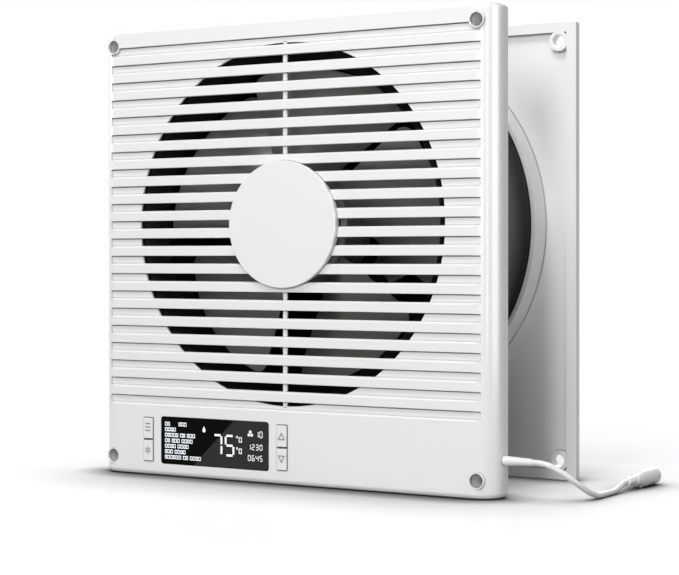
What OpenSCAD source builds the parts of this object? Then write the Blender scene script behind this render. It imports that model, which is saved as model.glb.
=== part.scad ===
/* [Plates] */
// Distance from the rear plate's collar to the sides of the plates
side_margin = 22; // [19:0.5:40]
// Distance from the rear plate's collar to the tops of the plates
top_margin = 6; // [5:0.5:20]
// Depth of the front unit with its cover
front_d = 19.5; // [18:0.5:26]
// Thickness of the louvred face
face_t = 3.2; // [3:0.1:3.5]
// Thickness of the front unit's side walls
wall_t = 2.4; // [2:0.1:2.8]
// Thickness of the cover behind the front unit
cover_t = 2.4; // [2:0.1:2.6]
// Radius of the front unit's upright edges
side_r = 14; // [10:0.5:14]
// Radius of the front unit's top and bottom edges
edge_r = 2.5; // [1.5:0.5:3]

/* [Louvres] */
// Distance from one groove to the next
groove_pitch = 11.16; // [11:0.02:11.4]
// Height of a groove and of a slot
groove_h = 5.58; // [5:0.02:6]
// Depth of a groove in the front face
groove_depth = 1.5; // [1:0.1:1.6]
// Height of the shadow line along the top of a groove
slit_h = 0.6; // [0.4:0.1:1]
// Depth of the shadow line below the groove
slit_depth = 0.9; // [0.5:0.1:1]
// Height of the bevel along the bottom of a groove
groove_bevel = 0.7; // [0.4:0.1:1]
// Distance from the side of a plate to the ends of its grooves
groove_inset = 8.6; // [7:0.2:11]
// Distance from the top of a plate to its first groove
groove_top = 12.15; // [11.5:0.05:13]
// Height of the plain band under the grooves
band_h = 44.6; // [43:0.2:46]
// Width of the upright rib
rib_w = 2.8; // [2:0.2:4]
// Radius of the cap in the middle of the louvres
cap_r = 38.8; // [37:0.1:42]
// How far the cap stands out from the face
cap_out = 2.7; // [1.5:0.1:4]
// Radius of the cap's front edge
cap_edge_r = 0.8; // [0.4:0.1:1.2]

/* [Controls] */
// Distance from the left side of the front unit to the display window
window_left = 49.6; // [46:0.2:52]
// Distance from the bottom of the front unit to the display window
window_foot = 7.9; // [7.5:0.1:9]
// Width of the display window
window_w = 82.4; // [78:0.2:86]
// Height of the display window
window_h = 29.9; // [28:0.1:30.5]
// Thickness of the display window
window_t = 1.6; // [1.2:0.1:1.8]
// Corner radius of the display window
window_r = 1.8; // [1:0.1:3]
// Width of the ledge that the display window lies on
window_ledge = 2.2; // [1.5:0.1:3]
// Width of a button
button_w = 7.3; // [6.4:0.1:7.4]
// Height of a button
button_h = 13.5; // [12.5:0.1:13.8]
// Distance from the display window to the buttons beside it
button_gap = 6.3; // [6:0.1:7.5]
// How far a button stands out from the face
button_out = 0.8; // [0.4:0.1:1.5]
// Travel of a button
button_travel = 0.7; // [0.4:0.1:0.8]
// Thickness of the circuit boards
board_t = 1.6; // [1:0.2:1.8]

/* [Fan] */
// Radius of the blade tips
blade_r = 97; // [80:0.5:120]
// Gap between the blade tips and the throat round them
tip_gap = 2.5; // [2:0.1:4]
// How much wider the duct is than the throat
bell_w = 11; // [8:0.5:14]
// Wall of the duct
duct_t = 2.5; // [2:0.1:3]
// Number of blades
blades = 5; // [3:1:5]
// Angle that a blade takes up at its tip
tip_span = 64; // [50:1:68]
// Angle that a blade takes up at the hub
root_span = 46; // [30:1:50]
// Thickness of a blade
blade_t = 2.2; // [1.8:0.1:2.8]
// Radius of the impeller's hub
hub_r = 36; // [34:0.5:40]
// Wall of the impeller's hub
hub_t = 2.5; // [2:0.1:3]
// Radius of the motor shaft
shaft_r = 2.47; // [2.2:0.01:3]
// Width of the struts that carry the motor
strut_w = 6; // [4:0.5:9]

/* [Rear unit] */
// Thickness of the wall between the front unit and the rear plate
wall_gap = 93.1; // [80:0.1:140]
// Depth of the rear plate
rear_d = 5.9; // [5.5:0.1:8]
// Width of the rim round the rear plate
rim_w = 6.5; // [5.5:0.1:6.5]
// Thickness of the rear plate inside its rim
panel_t = 2.5; // [2.3:0.1:3]
// Wall of the collar on the rear plate
collar_t = 2.9; // [2:0.1:3.2]
// How far the collar stands out from the rim
collar_out = 12.1; // [10:0.1:16]
// Gap between the duct and the collar
collar_gap = 5.1; // [4.5:0.1:5.2]
// Length of the foam seal in that gap
seal_l = 5; // [4:0.5:8]

/* [Fixing holes] */
// Distance from the edges of the front unit to its wall screws
front_hole_inset = 11; // [10.5:0.5:13]
// Radius of the recess over a wall screw
recess_r = 4.15; // [4:0.05:4.3]
// Radius of the hole for a wall screw
screw_hole_r = 2.25; // [2:0.05:2.6]
// Distance from the edges of the rear plate to its holes
rear_hole_inset = 12; // [11.5:0.5:14]
// Radius of the holes in the rear plate
rear_hole_r = 3.9; // [3:0.1:4.2]
// Outer radius of the bosses on the rear plate
rear_boss_r = 6.5; // [6:0.1:7]

/* [Lead] */
// Diameter of the lead
lead_d = 3.5; // [3.5:0.1:3.6]
// Distance from the back edge of the front unit's walls to the lead
lead_back = 3.2; // [3.1:0.1:4]
// Length of the tapered sleeve on the lead
relief_l = 18; // [14:0.5:22]
// Diameter of the socket on the lead's end
jack_d = 10.4; // [10:0.1:10.6]

/* [Hidden] */

$fn = 96;
cut = 1;            // how far a cut runs past a face
sink = 0.4;         // how far a boss sinks into what it stands on
gap = 0.3;          // clearance between pieces that don't touch
fit_gap = 0.05;     // clearance of a glued or pressed piece in its seat

// Colours
WHITE = [0.93, 0.93, 0.92];
BLACK = [0.08, 0.08, 0.08];
GREY = [0.3, 0.3, 0.31];
STEEL = [0.7, 0.71, 0.73];
BRASS = [0.8, 0.66, 0.35];
COPPER = [0.75, 0.42, 0.22];
BOARD = [0.1, 0.35, 0.2];

// Places: depths are measured from the front face, towards the back
throat_r = blade_r + tip_gap;
duct_in_r = throat_r + bell_w;
duct_r = duct_in_r + duct_t;
collar_r = duct_r + collar_gap + collar_t;
flange_out = 4;
board_over = 3.75;
board_z1 = window_foot + window_h + board_over;
fan_z = board_z1 + 0.45 + duct_r + flange_out;
plate_w = 2 * (collar_r + side_margin);
plate_h = fan_z + collar_r + top_margin;
rear_at = front_d + wall_gap;
rear_back = rear_at + rear_d;
front_y = -(rear_back - cap_out) / 2;
body_d = front_d - cover_t;
panel_at = rear_back - panel_t;
duct_end = rear_at - collar_out + seal_l + 2.5;
opening_r = duct_in_r + 0.5;
groove_l = plate_w - 2 * groove_inset;
front_grooves = 1 + floor((plate_h - groove_top - groove_h - band_h) / groove_pitch);
rear_grooves = 1 + floor((plate_h - 2 * groove_top - groove_h + 1) / groove_pitch);
rear_groove_depth = panel_t * 0.4;
rear_edge_r = 2;

window_x = -plate_w / 2 + window_left;
window_z = window_foot + window_h / 2;
window_at = 0.15;
ledge_at = window_at + window_t + fit_gap;
button_split = 0.3;
button_side_gap = 0.15;
button_xs = [window_x - button_gap - button_w / 2, window_x + window_w + button_gap + button_w / 2];
button_zs = [window_z + (button_h + button_split) / 2, window_z - (button_h + button_split) / 2];
lip_t = 1.0;
lip_w = 1.0;
lip_at = face_t + 0.15;
plunger_at = face_t + 1.4;
plunger_l = 3;
plunger_r = 1.7;
switch_w = 6.2;
switch_at = plunger_at + button_travel + 0.5;
board_at = switch_at + 3.5;
board_back = board_at + board_t;
board_edge = 9;
board_x0 = button_xs[0] - button_w / 2 - board_edge;
board_x1 = button_xs[1] + button_w / 2 + board_edge;
board_z0 = wall_t + 2.45;
board_screw_inset = 3.4;

duct_at = face_t + gap;
bell_at = duct_at + 1.7;
throat_t = 2;
throat_at = bell_at + 11.8;
flange_at = face_t + 5.8;
flange_t = 3;
shoulder_w = 1.6;
shoulder_t = 1.5;
lug_at_r = duct_r + 7;
lug_r = 5.2;
blade_front = 17;
blade_back = 38.5;
blade_angle = 110.5;
blade_lean = 2;
blade_camber = 1.5;
blade_corner = 7;
hub_at = 13;
hub_end = 46;
strut_at = hub_end + 8;
strut_t = 6;
seat_r = hub_r + 1;
seat_at = strut_at + 2;
seat_back = strut_at + strut_t;
seat_rim_h = 6;
board_peg_r = 2;
board_peg_at_r = 22;
motor_board_at = seat_at - seat_rim_h - board_t - 0.9;

yoke_t = 1.5;
yoke_r = hub_r - hub_t - fit_gap;
yoke_at = hub_at + hub_t;
yoke_end = hub_end - 2;
magnet_t = 3;
magnet_r = yoke_r - yoke_t - fit_gap;
magnet_at = yoke_at + yoke_t + 3;
magnet_end = yoke_end - 2;
air_gap = 0.6;
core_r = magnet_r - magnet_t - air_gap;
core_at = magnet_at + 4;
core_end = magnet_end - 4;
teeth = 9;
tooth_w = 4;
coil_t = 2.8;
tube_r = 9;
bearing_r = 6.5;
bearing_w = 5;
bearing_bore_r = shaft_r + 0.03;
tube_at = yoke_at + yoke_t + 1.6;
front_bearing_at = tube_at + 0.5;
rear_bearing_at = seat_at - bearing_w - 3.7;
clip_at = rear_bearing_at + bearing_w + gap;
clip_t = 0.6;
shaft_end = clip_at + clip_t + 0.6;

screw_r = 1.45;
pilot_r = screw_r + fit_gap;
head_r = 2.9;
head_h = 2;
well_r = 5;
well_d = head_h + 0.4;
cover_xz = [for (s = [-1, 1]) each [[s * plate_w * 0.245, plate_h - 8],
    [s * (plate_w / 2 - 10), plate_h * 0.7], [s * (plate_w / 2 - 10), plate_h * 0.21]]];
front_hole_xz = [for (s = [-1, 1], z = [front_hole_inset, plate_h - front_hole_inset])
    [s * (plate_w / 2 - front_hole_inset), z]];
rear_hole_xz = [for (s = [-1, 1], z = [rear_hole_inset, plate_h - rear_hole_inset])
    [s * (plate_w / 2 - rear_hole_inset), z]];
lug_angles = [45, 135, 225, 315];
lug_xz = [for (a = lug_angles) [lug_at_r * cos(a), fan_z + lug_at_r * sin(a)]];
board_xz = [for (x = [board_x0 + board_screw_inset, board_x1 - board_screw_inset],
    z = [board_z0 + board_screw_inset, board_z1 - board_screw_inset]) [x, z]];

// Route of the free lead: along X and Y from the end of its sleeve, Z from the floor
lead_z = 22;
LEAD_ROUTE = [[0, 0, 22], [3, 0, 22], [8, 0.6, 21.2], [13.5, 2.4, 18.6], [18.5, 5.4, 14.9],
    [22.6, 9.6, 10.9], [25.4, 14.9, 7], [27, 21, 4], [27.6, 27.4, 2.3], [27.6, 34, 1.8],
    [27.6, 40, 1.8], [27.6, 46, 1.8], [27.6, 52, 2], [27.6, 57.6, 2.9], [27.6, 63, 4.3],
    [27.6, 68, 5.2], [27.6, 70.5, 5.3]];
jack_relief_l = 11.3;
jack_taper_l = 9.5;
jack_barrel_l = 21;
lead_at = body_d - lead_back;
lead_start = [plate_w / 2 + relief_l, front_y + lead_at, 0];

// Route of the motor's cable in radius and angle about the fan's axis and depth, then on to the controller
cable_d = 2.4;
cable_out_r = duct_r + cable_d / 2 + 2;
cable_out_a = 236;
cable_lay = strut_at - cable_d / 2 - 0.2;
cable_drop = 14.2;
cable_x = cable_out_r * cos(cable_out_a);
cable_z = fan_z + cable_out_r * sin(cable_out_a);
cable_hole = [duct_r, 225, cable_lay - 0.9];
socket_z = board_z1 - 5;
CABLE_POLAR = [[14, 225, motor_board_at + board_t + cable_d / 2 + 0.1],
    [23, 225, motor_board_at + board_t + cable_d / 2 + 0.1], [31, 225, cable_lay - 1.2],
    [38, 225, cable_lay], [62, 225, cable_lay], [throat_r - 14, 225, cable_lay],
    [throat_r - 3, 225, cable_lay - 0.5], [duct_in_r - 3, 225, cable_lay - 0.7],
    [duct_in_r, 225, cable_lay - 0.9], [duct_r + 0.7, 225, cable_lay - 1.7],
    [cable_out_r - 0.2, 225.6, cable_lay - 4], [cable_out_r + 0.4, 227, cable_lay - 8],
    [cable_out_r, 229.5, cable_lay - 14], [cable_out_r, 232.5, cable_lay - 20],
    [cable_out_r, 235, cable_lay - 26], [cable_out_r, cable_out_a, cable_lay - 32]];
CABLE_ROUTE = concat([for (p = CABLE_POLAR) [p[0] * cos(p[1]), p[2], fan_z + p[0] * sin(p[1])]],
    [[cable_x, cable_drop + 3.6, cable_z - 0.5], [cable_x, cable_drop + 1.1, cable_z - 2.4],
    [cable_x, cable_drop, cable_z - 6], [cable_x, cable_drop, (cable_z - 6 + socket_z) / 2],
    [cable_x, cable_drop, socket_z]]);

// Stands what is drawn in depths from the front face at its place in the part's frame
module at_front() {
    translate([0, front_y, 0]) children();
}

// Turns what is drawn along Z to run back from depth d at x, z
module back_from(x, d, z) {
    translate([x, d, z]) rotate([-90, 0, 0]) children();
}

// Round bar from depth d0 to depth d1
module bar(x, z, r, d0, d1) {
    back_from(x, d0, z) cylinder(r = r, h = d1 - d0);
}

// Block between two corners
module block(x0, x1, d0, d1, z0, z1) {
    translate([x0, d0, z0]) cube([x1 - x0, d1 - d0, z1 - z0]);
}

// Ring about the fan's axis
module fan_ring(r_in, r_out, d0, d1) {
    difference() {
        bar(0, fan_z, r_out, d0, d1);
        bar(0, fan_z, r_in, d0 - cut, d1 + cut);
    }
}

// Turned shape about the fan's axis from points of radius and depth
module fan_turned(points) {
    back_from(0, 0, fan_z) rotate_extrude() polygon(points);
}

// Outline of width w from depth 0 to d with two rounded corners at depth 0
module rounded_front(w, d, r) {
    translate([-w / 2, r]) square([w, d - r]);
    translate([-w / 2 + r, 0]) square([w - 2 * r, d]);
    for (s = [-1, 1])
        translate([s * (w / 2 - r), r]) circle(r);
}

// Body with rounded front edges: radius r upright, e at the top and the bottom
module rounded_body(w, h, d, r, e) {
    intersection() {
        linear_extrude(height = h) rounded_front(w, d, r);
        translate([-w / 2 - cut, 0, h / 2]) rotate([90, 0, 90])
            linear_extrude(height = w + 2 * cut) rotate(-90) rounded_front(h, d, e);
    }
}

// Rectangle with rounded corners standing across the depth
module rounded_block(x0, x1, d0, d1, z0, z1, r) {
    back_from(0, d0, 0) linear_extrude(height = d1 - d0) {
        translate([x0 + r, -z1]) square([x1 - x0 - 2 * r, z1 - z0]);
        translate([x0, -z1 + r]) square([x1 - x0, z1 - z0 - 2 * r]);
        for (x = [x0 + r, x1 - r], z = [z0 + r, z1 - r])
            translate([x, -z]) circle(r);
    }
}

// Tube swept along points, square to its route at every point
function unit(v) = v / norm(v);
function route_dir(p, i) = unit(p[min(i + 1, len(p) - 1)] - p[max(i - 1, 0)]);
module swept_tube(p, r, sides, ref) {
    n = len(p);
    rings = [for (i = [0 : n - 1])
        let (t = route_dir(p, i), a = unit(cross(ref, t)), b = cross(t, a))
            for (k = [0 : sides - 1])
                p[i] + r * cos(360 * (k + 0.5) / sides) * a + r * sin(360 * (k + 0.5) / sides) * b];
    walls = [for (i = [0 : n - 2], k = [0 : sides - 1])
        let (q = i * sides + k, s = i * sides + (k + 1) % sides)
            each [[q, q + sides, s + sides], [q, s + sides, s]]];
    polyhedron(points = rings, faces = concat(walls,
        [[for (k = [0 : sides - 1]) k]], [[for (k = [sides - 1 : -1 : 0]) (n - 1) * sides + k]]));
}

// Pan head screw whose head's underside is at depth d, pointing to the front
module screw(x, z, d, l) {
    difference() {
        union() {
            bar(x, z, screw_r, d - l, d + sink);
            bar(x, z, head_r, d, d + head_h);
        }
        for (a = [0, 90])
            back_from(x, d + head_h - 0.9, z) rotate(a)
                translate([-1.7, -0.35, 0]) cube([3.4, 0.7, cut + 0.9]);
    }
}

// Height of the top line of groove i
function groove_z(i) = plate_h - groove_top - i * groove_pitch;

// Grooves cut in from a face at depth 0, with a shadow line at the top and a bevel at the bottom
module grooves(n, depth, slit) {
    for (i = [0 : n - 1])
        translate([-groove_l / 2, 0, groove_z(i)]) rotate([90, 0, 90])
            linear_extrude(height = groove_l)
                polygon([[-cut, 0], [depth + slit, 0], [depth + slit, -slit_h], [depth, -slit_h],
                    [depth, -groove_h + groove_bevel], [0, -groove_h], [-cut, -groove_h]]);
}

// Open slots through a plate from depth d0 to d1, round the hub and on both sides of the rib
module slots(n, r, d0, d1) {
    intersection() {
        difference() {
            bar(0, fan_z, r, d0, d1);
            bar(0, fan_z, cap_r - 2, d0 - cut, d1 + cut);
            block(-rib_w / 2, rib_w / 2, d0 - cut, d1 + cut, fan_z - r - cut, fan_z + r + cut);
        }
        for (i = [0 : n - 1])
            block(-r - cut, r + cut, d0 - cut, d1 + cut, groove_z(i) - groove_h + groove_bevel, groove_z(i));
    }
}

module front_bosses() {
    for (p = front_hole_xz)
        bar(p[0], p[1], recess_r + 2.1, face_t - sink, body_d);
    for (p = cover_xz)
        bar(p[0], p[1], pilot_r + 1.8, face_t - sink, body_d - well_d);
    for (p = lug_xz)
        bar(p[0], p[1], pilot_r + 2, face_t - sink, flange_at);
    for (p = board_xz)
        bar(p[0], p[1], pilot_r + 1.4, face_t - sink, board_at);
    fan_ring(duct_r + 2 * gap, duct_r + 2 * gap + 1.5, face_t - sink, flange_at - shoulder_t - gap);
}

module front_shell() color(WHITE) at_front() difference() {
    union() {
        difference() {
            rounded_body(plate_w, plate_h, body_d, side_r, edge_r);
            translate([0, face_t, wall_t])
                rounded_body(plate_w - 2 * wall_t, plate_h - 2 * wall_t, body_d, side_r - wall_t, 1);
            grooves(front_grooves, groove_depth, slit_depth);
            slots(front_grooves, opening_r, -cut, face_t + cut);
        }
        bar(0, fan_z, cap_r - 1, 0, face_t);
        intersection() {
            front_bosses();
            rounded_body(plate_w - 1, plate_h, body_d, side_r, edge_r);
        }
    }
    bar(0, fan_z, 8.2, -cut, face_t + cut);
    rounded_block(window_x - fit_gap, window_x + window_w + fit_gap, -cut, ledge_at,
        window_foot - fit_gap, window_foot + window_h + fit_gap, window_r);
    block(window_x + window_ledge, window_x + window_w - window_ledge, -cut, face_t + cut,
        window_foot + window_ledge, window_foot + window_h - window_ledge);
    for (x = button_xs)
        block(x - button_w / 2 - button_side_gap, x + button_w / 2 + button_side_gap, -cut, face_t + cut,
            button_zs[1] - button_h / 2 - button_side_gap, button_zs[0] + button_h / 2 + button_side_gap);
    for (p = front_hole_xz) {
        bar(p[0], p[1], recess_r, -cut, body_d - 2);
        bar(p[0], p[1], screw_hole_r, 0, body_d + cut);
    }
    for (p = cover_xz)
        bar(p[0], p[1], pilot_r, face_t + 1, body_d);
    for (p = lug_xz)
        bar(p[0], p[1], pilot_r, face_t - 1, flange_at + cut);
    for (p = board_xz)
        bar(p[0], p[1], pilot_r, face_t - 1, board_at + cut);
    translate([plate_w / 2 - side_r, lead_at, lead_z]) rotate([0, 90, 0])
        cylinder(r = lead_d / 2 + 0.95, h = side_r + cut);
}

module hub_cap() color(WHITE) at_front() fan_turned([
    [0, -cap_out], [cap_r - cap_edge_r, -cap_out],
    for (a = [15 : 15 : 90]) [cap_r - cap_edge_r * (1 - sin(a)), -cap_out + cap_edge_r * (1 - cos(a))],
    [cap_r, 0], [8, 0], [8, face_t], [0, face_t]]);

module rear_cover() color(WHITE) at_front() difference() {
    union() {
        block(-plate_w / 2, plate_w / 2, body_d, front_d, 0, plate_h);
        for (p = cover_xz)
            bar(p[0], p[1], well_r, body_d - well_d, body_d + sink);
    }
    bar(0, fan_z, duct_r + 2 * gap, body_d - cut, front_d + cut);
    bar(cable_x, cable_z, cable_d / 2 + 1, body_d - cut, front_d + cut);
    for (p = front_hole_xz)
        bar(p[0], p[1], screw_hole_r, body_d - cut, front_d + cut);
    for (p = cover_xz) {
        bar(p[0], p[1], head_r + gap, front_d - well_d, front_d + cut);
        bar(p[0], p[1], screw_r + gap, body_d - well_d - cut, front_d);
    }
}

module cover_screws() color(STEEL) at_front()
    for (p = cover_xz)
        screw(p[0], p[1], front_d - well_d, 9);

module display_window() color(BLACK) at_front()
    rounded_block(window_x, window_x + window_w, window_at, window_at + window_t,
        window_foot, window_foot + window_h, window_r - fit_gap);

module lcd_glass() color([0.15, 0.17, 0.18]) at_front()
    block(window_x + 1, window_x + window_w - 1, face_t, face_t + 2,
        window_foot + 1, window_foot + window_h - 1);

module lcd_backlight() color([0.85, 0.85, 0.85]) at_front()
    block(window_x + 0.5, window_x + window_w - 0.5, face_t + 2, board_at,
        window_foot + 0.5, window_foot + window_h - 0.5);

module control_board() color(BOARD) at_front() difference() {
    block(board_x0, board_x1, board_at, board_back, board_z0, board_z1);
    for (p = board_xz)
        bar(p[0], p[1], screw_r + gap, board_at - cut, board_back + cut);
}

// Connectors, chips, capacitors and coil on the back of the control board
module board_parts() color(GREY) at_front() {
    d = board_back;
    mid = (board_z0 + board_z1) / 2;
    block(board_x1 - 10, board_x1, d, body_d - 0.6, lead_z - 5, lead_z + 5);
    block(cable_x - 6, cable_x + 6, d, body_d - 0.6, socket_z - 7, socket_z);
    block(window_x + 63, window_x + 73, d, d + 1.2, mid - 6, mid + 4);
    block(window_x + 1, window_x + 9, d, d + 1.2, mid + 1, mid + 9);
    block(window_x + 49, window_x + 55, d, d + 1, mid - 11, mid - 5);
    bar(board_x1 - 20, mid + 7, 4, d, d + 4.6);
    bar(window_x + 15, mid - 9, 4.4, d, d + 4.8);
    bar(window_x - 3, mid - 9, 3.2, d, d + 4.6);
}

module thermistor() color([0.1, 0.1, 0.12]) at_front() {
    x = window_x + 68;
    z = board_z1 - 3.4;
    translate([x, board_back + 2.5, z + 2.4]) sphere(r = 1.2);
    for (s = [-1, 1])
        block(x + s * 0.6 - 0.2, x + s * 0.6 + 0.2, board_back, board_back + 2.9, z - 1, z - 0.6);
    block(x - 1, x + 1, board_back + 2.1, board_back + 2.9, z - 1, z + 1.6);
}

module board_screws() color(STEEL) at_front()
    for (p = board_xz)
        screw(p[0], p[1], board_back, 6);

module switch_bodies() color(GREY) at_front()
    for (x = button_xs, z = button_zs)
        difference() {
            block(x - switch_w / 2, x + switch_w / 2, switch_at, board_at, z - switch_w / 2, z + switch_w / 2);
            bar(x, z, plunger_r + gap, switch_at - cut, board_at - 0.5);
        }

// Button with its retaining lips at both sides, ending on its switch's plunger
module button(x, z) color(WHITE) at_front() {
    block(x - button_w / 2, x + button_w / 2, -button_out, lip_at + sink, z - button_h / 2, z + button_h / 2);
    block(x - button_w / 2 - lip_w, x + button_w / 2 + lip_w, lip_at, lip_at + lip_t,
        z - button_h / 2, z + button_h / 2);
    bar(x, z, plunger_r, lip_at + lip_t - sink, plunger_at);
}

module button_menu() button(button_xs[0], button_zs[0]);
module button_fan() button(button_xs[0], button_zs[1]);
module button_up() button(button_xs[1], button_zs[0]);
module button_down() button(button_xs[1], button_zs[1]);

module plunger(x, z) color(BLACK) at_front()
    bar(x, z, plunger_r, plunger_at, plunger_at + plunger_l);

module plunger_menu() plunger(button_xs[0], button_zs[0]);
module plunger_fan() plunger(button_xs[0], button_zs[1]);
module plunger_up() plunger(button_xs[1], button_zs[0]);
module plunger_down() plunger(button_xs[1], button_zs[1]);

// Duct with its flared inlet and throat, shoulder, struts and motor seat
module fan_frame() color(BLACK) at_front() difference() {
    union() {
        fan_turned([[duct_r, duct_at], [duct_r, duct_end], [duct_in_r, duct_end],
            [duct_in_r, bell_at + 3.4], [throat_r + throat_t, throat_at + 1.2],
            [throat_r + throat_t, seat_at], [throat_r, seat_at], [throat_r, throat_at],
            [duct_in_r, bell_at], [duct_in_r, duct_at]]);
        fan_ring(duct_r - sink, duct_r + shoulder_w, flange_at - shoulder_t, flange_at);
        for (a = lug_angles)
            back_from(0, strut_at, fan_z) rotate(a)
                translate([tube_r + 6, -strut_w / 2, 0]) cube([duct_in_r + 1 - tube_r - 6, strut_w, strut_t]);
        bar(0, fan_z, seat_r, seat_at, seat_back);
        fan_ring(seat_r - 2.5, seat_r, seat_at - seat_rim_h, seat_at + sink);
        for (a = [30, 150, 270])
            bar(board_peg_at_r * cos(a), fan_z + board_peg_at_r * sin(a), board_peg_r,
                motor_board_at + board_t, seat_at + sink);
    }
    bar(0, fan_z, tube_r + fit_gap, strut_at - cut, seat_back + cut);
    translate([0, 0, fan_z]) rotate([0, -cable_hole[1], 0]) {
        translate([throat_r - cut, cable_hole[2], 0]) rotate([0, 90, 0])
            cylinder(r = cable_d / 2 + 1, h = cable_hole[0] - throat_r + 2 * cut);
        translate([seat_r - 2.5 - cut, seat_at - seat_rim_h - cut, -cable_d / 2 - 0.5])
            cube([2.5 + 2 * cut, strut_at - seat_at + seat_rim_h + cut, cable_d + 1]);
    }
}

// Ring that clamps the duct's shoulder to the bosses of the front shell
module clamp_ring() color(BLACK) at_front() difference() {
    union() {
        bar(0, fan_z, duct_r + flange_out, flange_at, flange_at + flange_t);
        for (p = lug_xz)
            bar(p[0], p[1], lug_r, flange_at, flange_at + flange_t);
    }
    bar(0, fan_z, duct_r + fit_gap, flange_at - cut, flange_at + flange_t + cut);
    for (p = lug_xz)
        bar(p[0], p[1], screw_r + gap, flange_at - cut, flange_at + flange_t + cut);
}

module frame_screws() color(STEEL) at_front()
    for (p = lug_xz)
        screw(p[0], p[1], flange_at + flange_t, flange_t + 5);

module duct_seal() color([0.05, 0.05, 0.05]) at_front()
    fan_ring(duct_r, duct_r + collar_gap - 0.4, duct_end - seal_l, duct_end);

module bearing_tube() color(BRASS) at_front() fan_turned([
    [bearing_r + 0.02, tube_at], [tube_r, tube_at], [tube_r, seat_back], [tube_r + 5, seat_back],
    [tube_r + 5, seat_back + 1.5], [0, seat_back + 1.5], [0, seat_back], [bearing_r + 0.02, seat_back],
    [bearing_r + 0.02, rear_bearing_at], [bearing_r - 1, rear_bearing_at],
    [bearing_r - 1, front_bearing_at + bearing_w], [bearing_r + 0.02, front_bearing_at + bearing_w]]);

// Ball bearing with shallow recessed shields
module bearing(d) fan_turned([
    [bearing_bore_r, d], [bearing_bore_r + 1.1, d], [bearing_bore_r + 1.1, d + 0.4],
    [bearing_r - 1, d + 0.4], [bearing_r - 1, d], [bearing_r, d], [bearing_r, d + bearing_w],
    [bearing_r - 1, d + bearing_w], [bearing_r - 1, d + bearing_w - 0.4],
    [bearing_bore_r + 1.1, d + bearing_w - 0.4], [bearing_bore_r + 1.1, d + bearing_w],
    [bearing_bore_r, d + bearing_w]]);

module front_bearing() color(STEEL) at_front() bearing(front_bearing_at);

module rear_bearing() color(STEEL) at_front() bearing(rear_bearing_at);

module stator_core() color(GREY) at_front() back_from(0, core_at, fan_z)
    linear_extrude(height = core_end - core_at) difference() {
        union() {
            circle(tube_r + 5);
            for (i = [0 : teeth - 1])
                rotate(i * 360 / teeth) translate([tube_r + 3, -tooth_w / 2])
                    square([core_r - tube_r - 4, tooth_w]);
            difference() {
                circle(core_r);
                circle(core_r - 2);
                for (i = [0 : teeth - 1])
                    rotate((i + 0.5) * 360 / teeth) translate([core_r - 4, -1.2]) square([6, 2.4]);
            }
        }
        circle(tube_r + fit_gap);
    }

module stator_coils() color(COPPER) at_front() back_from(0, core_at, fan_z)
    for (i = [0 : teeth - 1])
        rotate(i * 360 / teeth) difference() {
            translate([tube_r + 6, -tooth_w / 2 - coil_t, -2.2])
                cube([core_r - 3 - tube_r - 6, tooth_w + 2 * coil_t, core_end - core_at + 4.4]);
            translate([tube_r, -tooth_w / 2 - fit_gap, -fit_gap])
                cube([core_r, tooth_w + 2 * fit_gap, core_end - core_at + 2 * fit_gap]);
        }

module motor_board() color(BOARD) at_front()
    fan_ring(tube_r + gap, board_peg_at_r + 6, motor_board_at, motor_board_at + board_t);

module motor_cable() color(BLACK) at_front()
    swept_tube(CABLE_ROUTE, cable_d / 2, 8, [0.2, 0.9, 1]);

// Blade rows from the hub to the tip, with both tip corners rounded
blade_rows = [0, 0.22, 0.44, 0.64, 0.8, 0.9, 0.96, 0.99, 1];
blade_cols = 12;
function row_r(v) = hub_r - 1 + (blade_r - hub_r + 1) * v;
function row_span(v) = root_span + (tip_span - root_span) * sin(90 * pow(v, 0.74));
function row_inset(v) = let (c = max(0, row_r(v) - blade_r + blade_corner))
    (blade_corner - sqrt(blade_corner * blade_corner - c * c)) / row_r(v) * 180 / PI;
function blade_point(u, v, side) = let (
    r = row_r(v), w = row_inset(v),
    a = blade_angle + blade_lean * (1 - v) - w - (row_span(v) - 2 * w) * u,
    part = (w + (row_span(v) - 2 * w) * u) / row_span(v),
    d = blade_front + (blade_back - blade_front) * part - blade_camber * sin(180 * part),
    t = blade_t * (0.4 + 0.6 * sin(180 * part)))
    [r * cos(a), d + side * t / 2, fan_z + r * sin(a)];
module blade() {
    n = blade_cols;
    m = len(blade_rows);
    points = [for (side = [-1, 1], v = blade_rows, j = [0 : n - 1]) blade_point(j / (n - 1), v, side)];
    b = m * n;
    skin = [for (i = [0 : m - 2], j = [0 : n - 2]) let (p = i * n + j, q = p + n)
        each [[p, q, q + 1], [p, q + 1, p + 1], [b + p, b + q + 1, b + q], [b + p, b + p + 1, b + q + 1]]];
    edges = [for (i = [0 : m - 2]) let (p = i * n, q = p + n, e = n - 1)
        each [[b + p, b + q, q], [b + p, q, p], [p + e, q + e, b + q + e], [p + e, b + q + e, b + p + e]]];
    ends = [for (j = [0 : n - 2]) let (p = (m - 1) * n + j)
        each [[p, b + p, b + p + 1], [p, b + p + 1, p + 1], [j, b + j + 1, b + j], [j, j + 1, b + j + 1]]];
    polyhedron(points = points, faces = concat(skin, edges, ends));
}

module impeller() color(GREY) at_front() {
    fan_turned([[shaft_r + 0.5, hub_at], [hub_r - 3, hub_at], [hub_r, hub_at + 3], [hub_r, hub_end],
        [hub_r - hub_t, hub_end], [hub_r - hub_t, yoke_at], [shaft_r + 0.5, yoke_at]]);
    for (i = [0 : blades - 1])
        translate([0, 0, fan_z]) rotate([0, i * 360 / blades, 0]) translate([0, 0, -fan_z]) blade();
}

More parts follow.
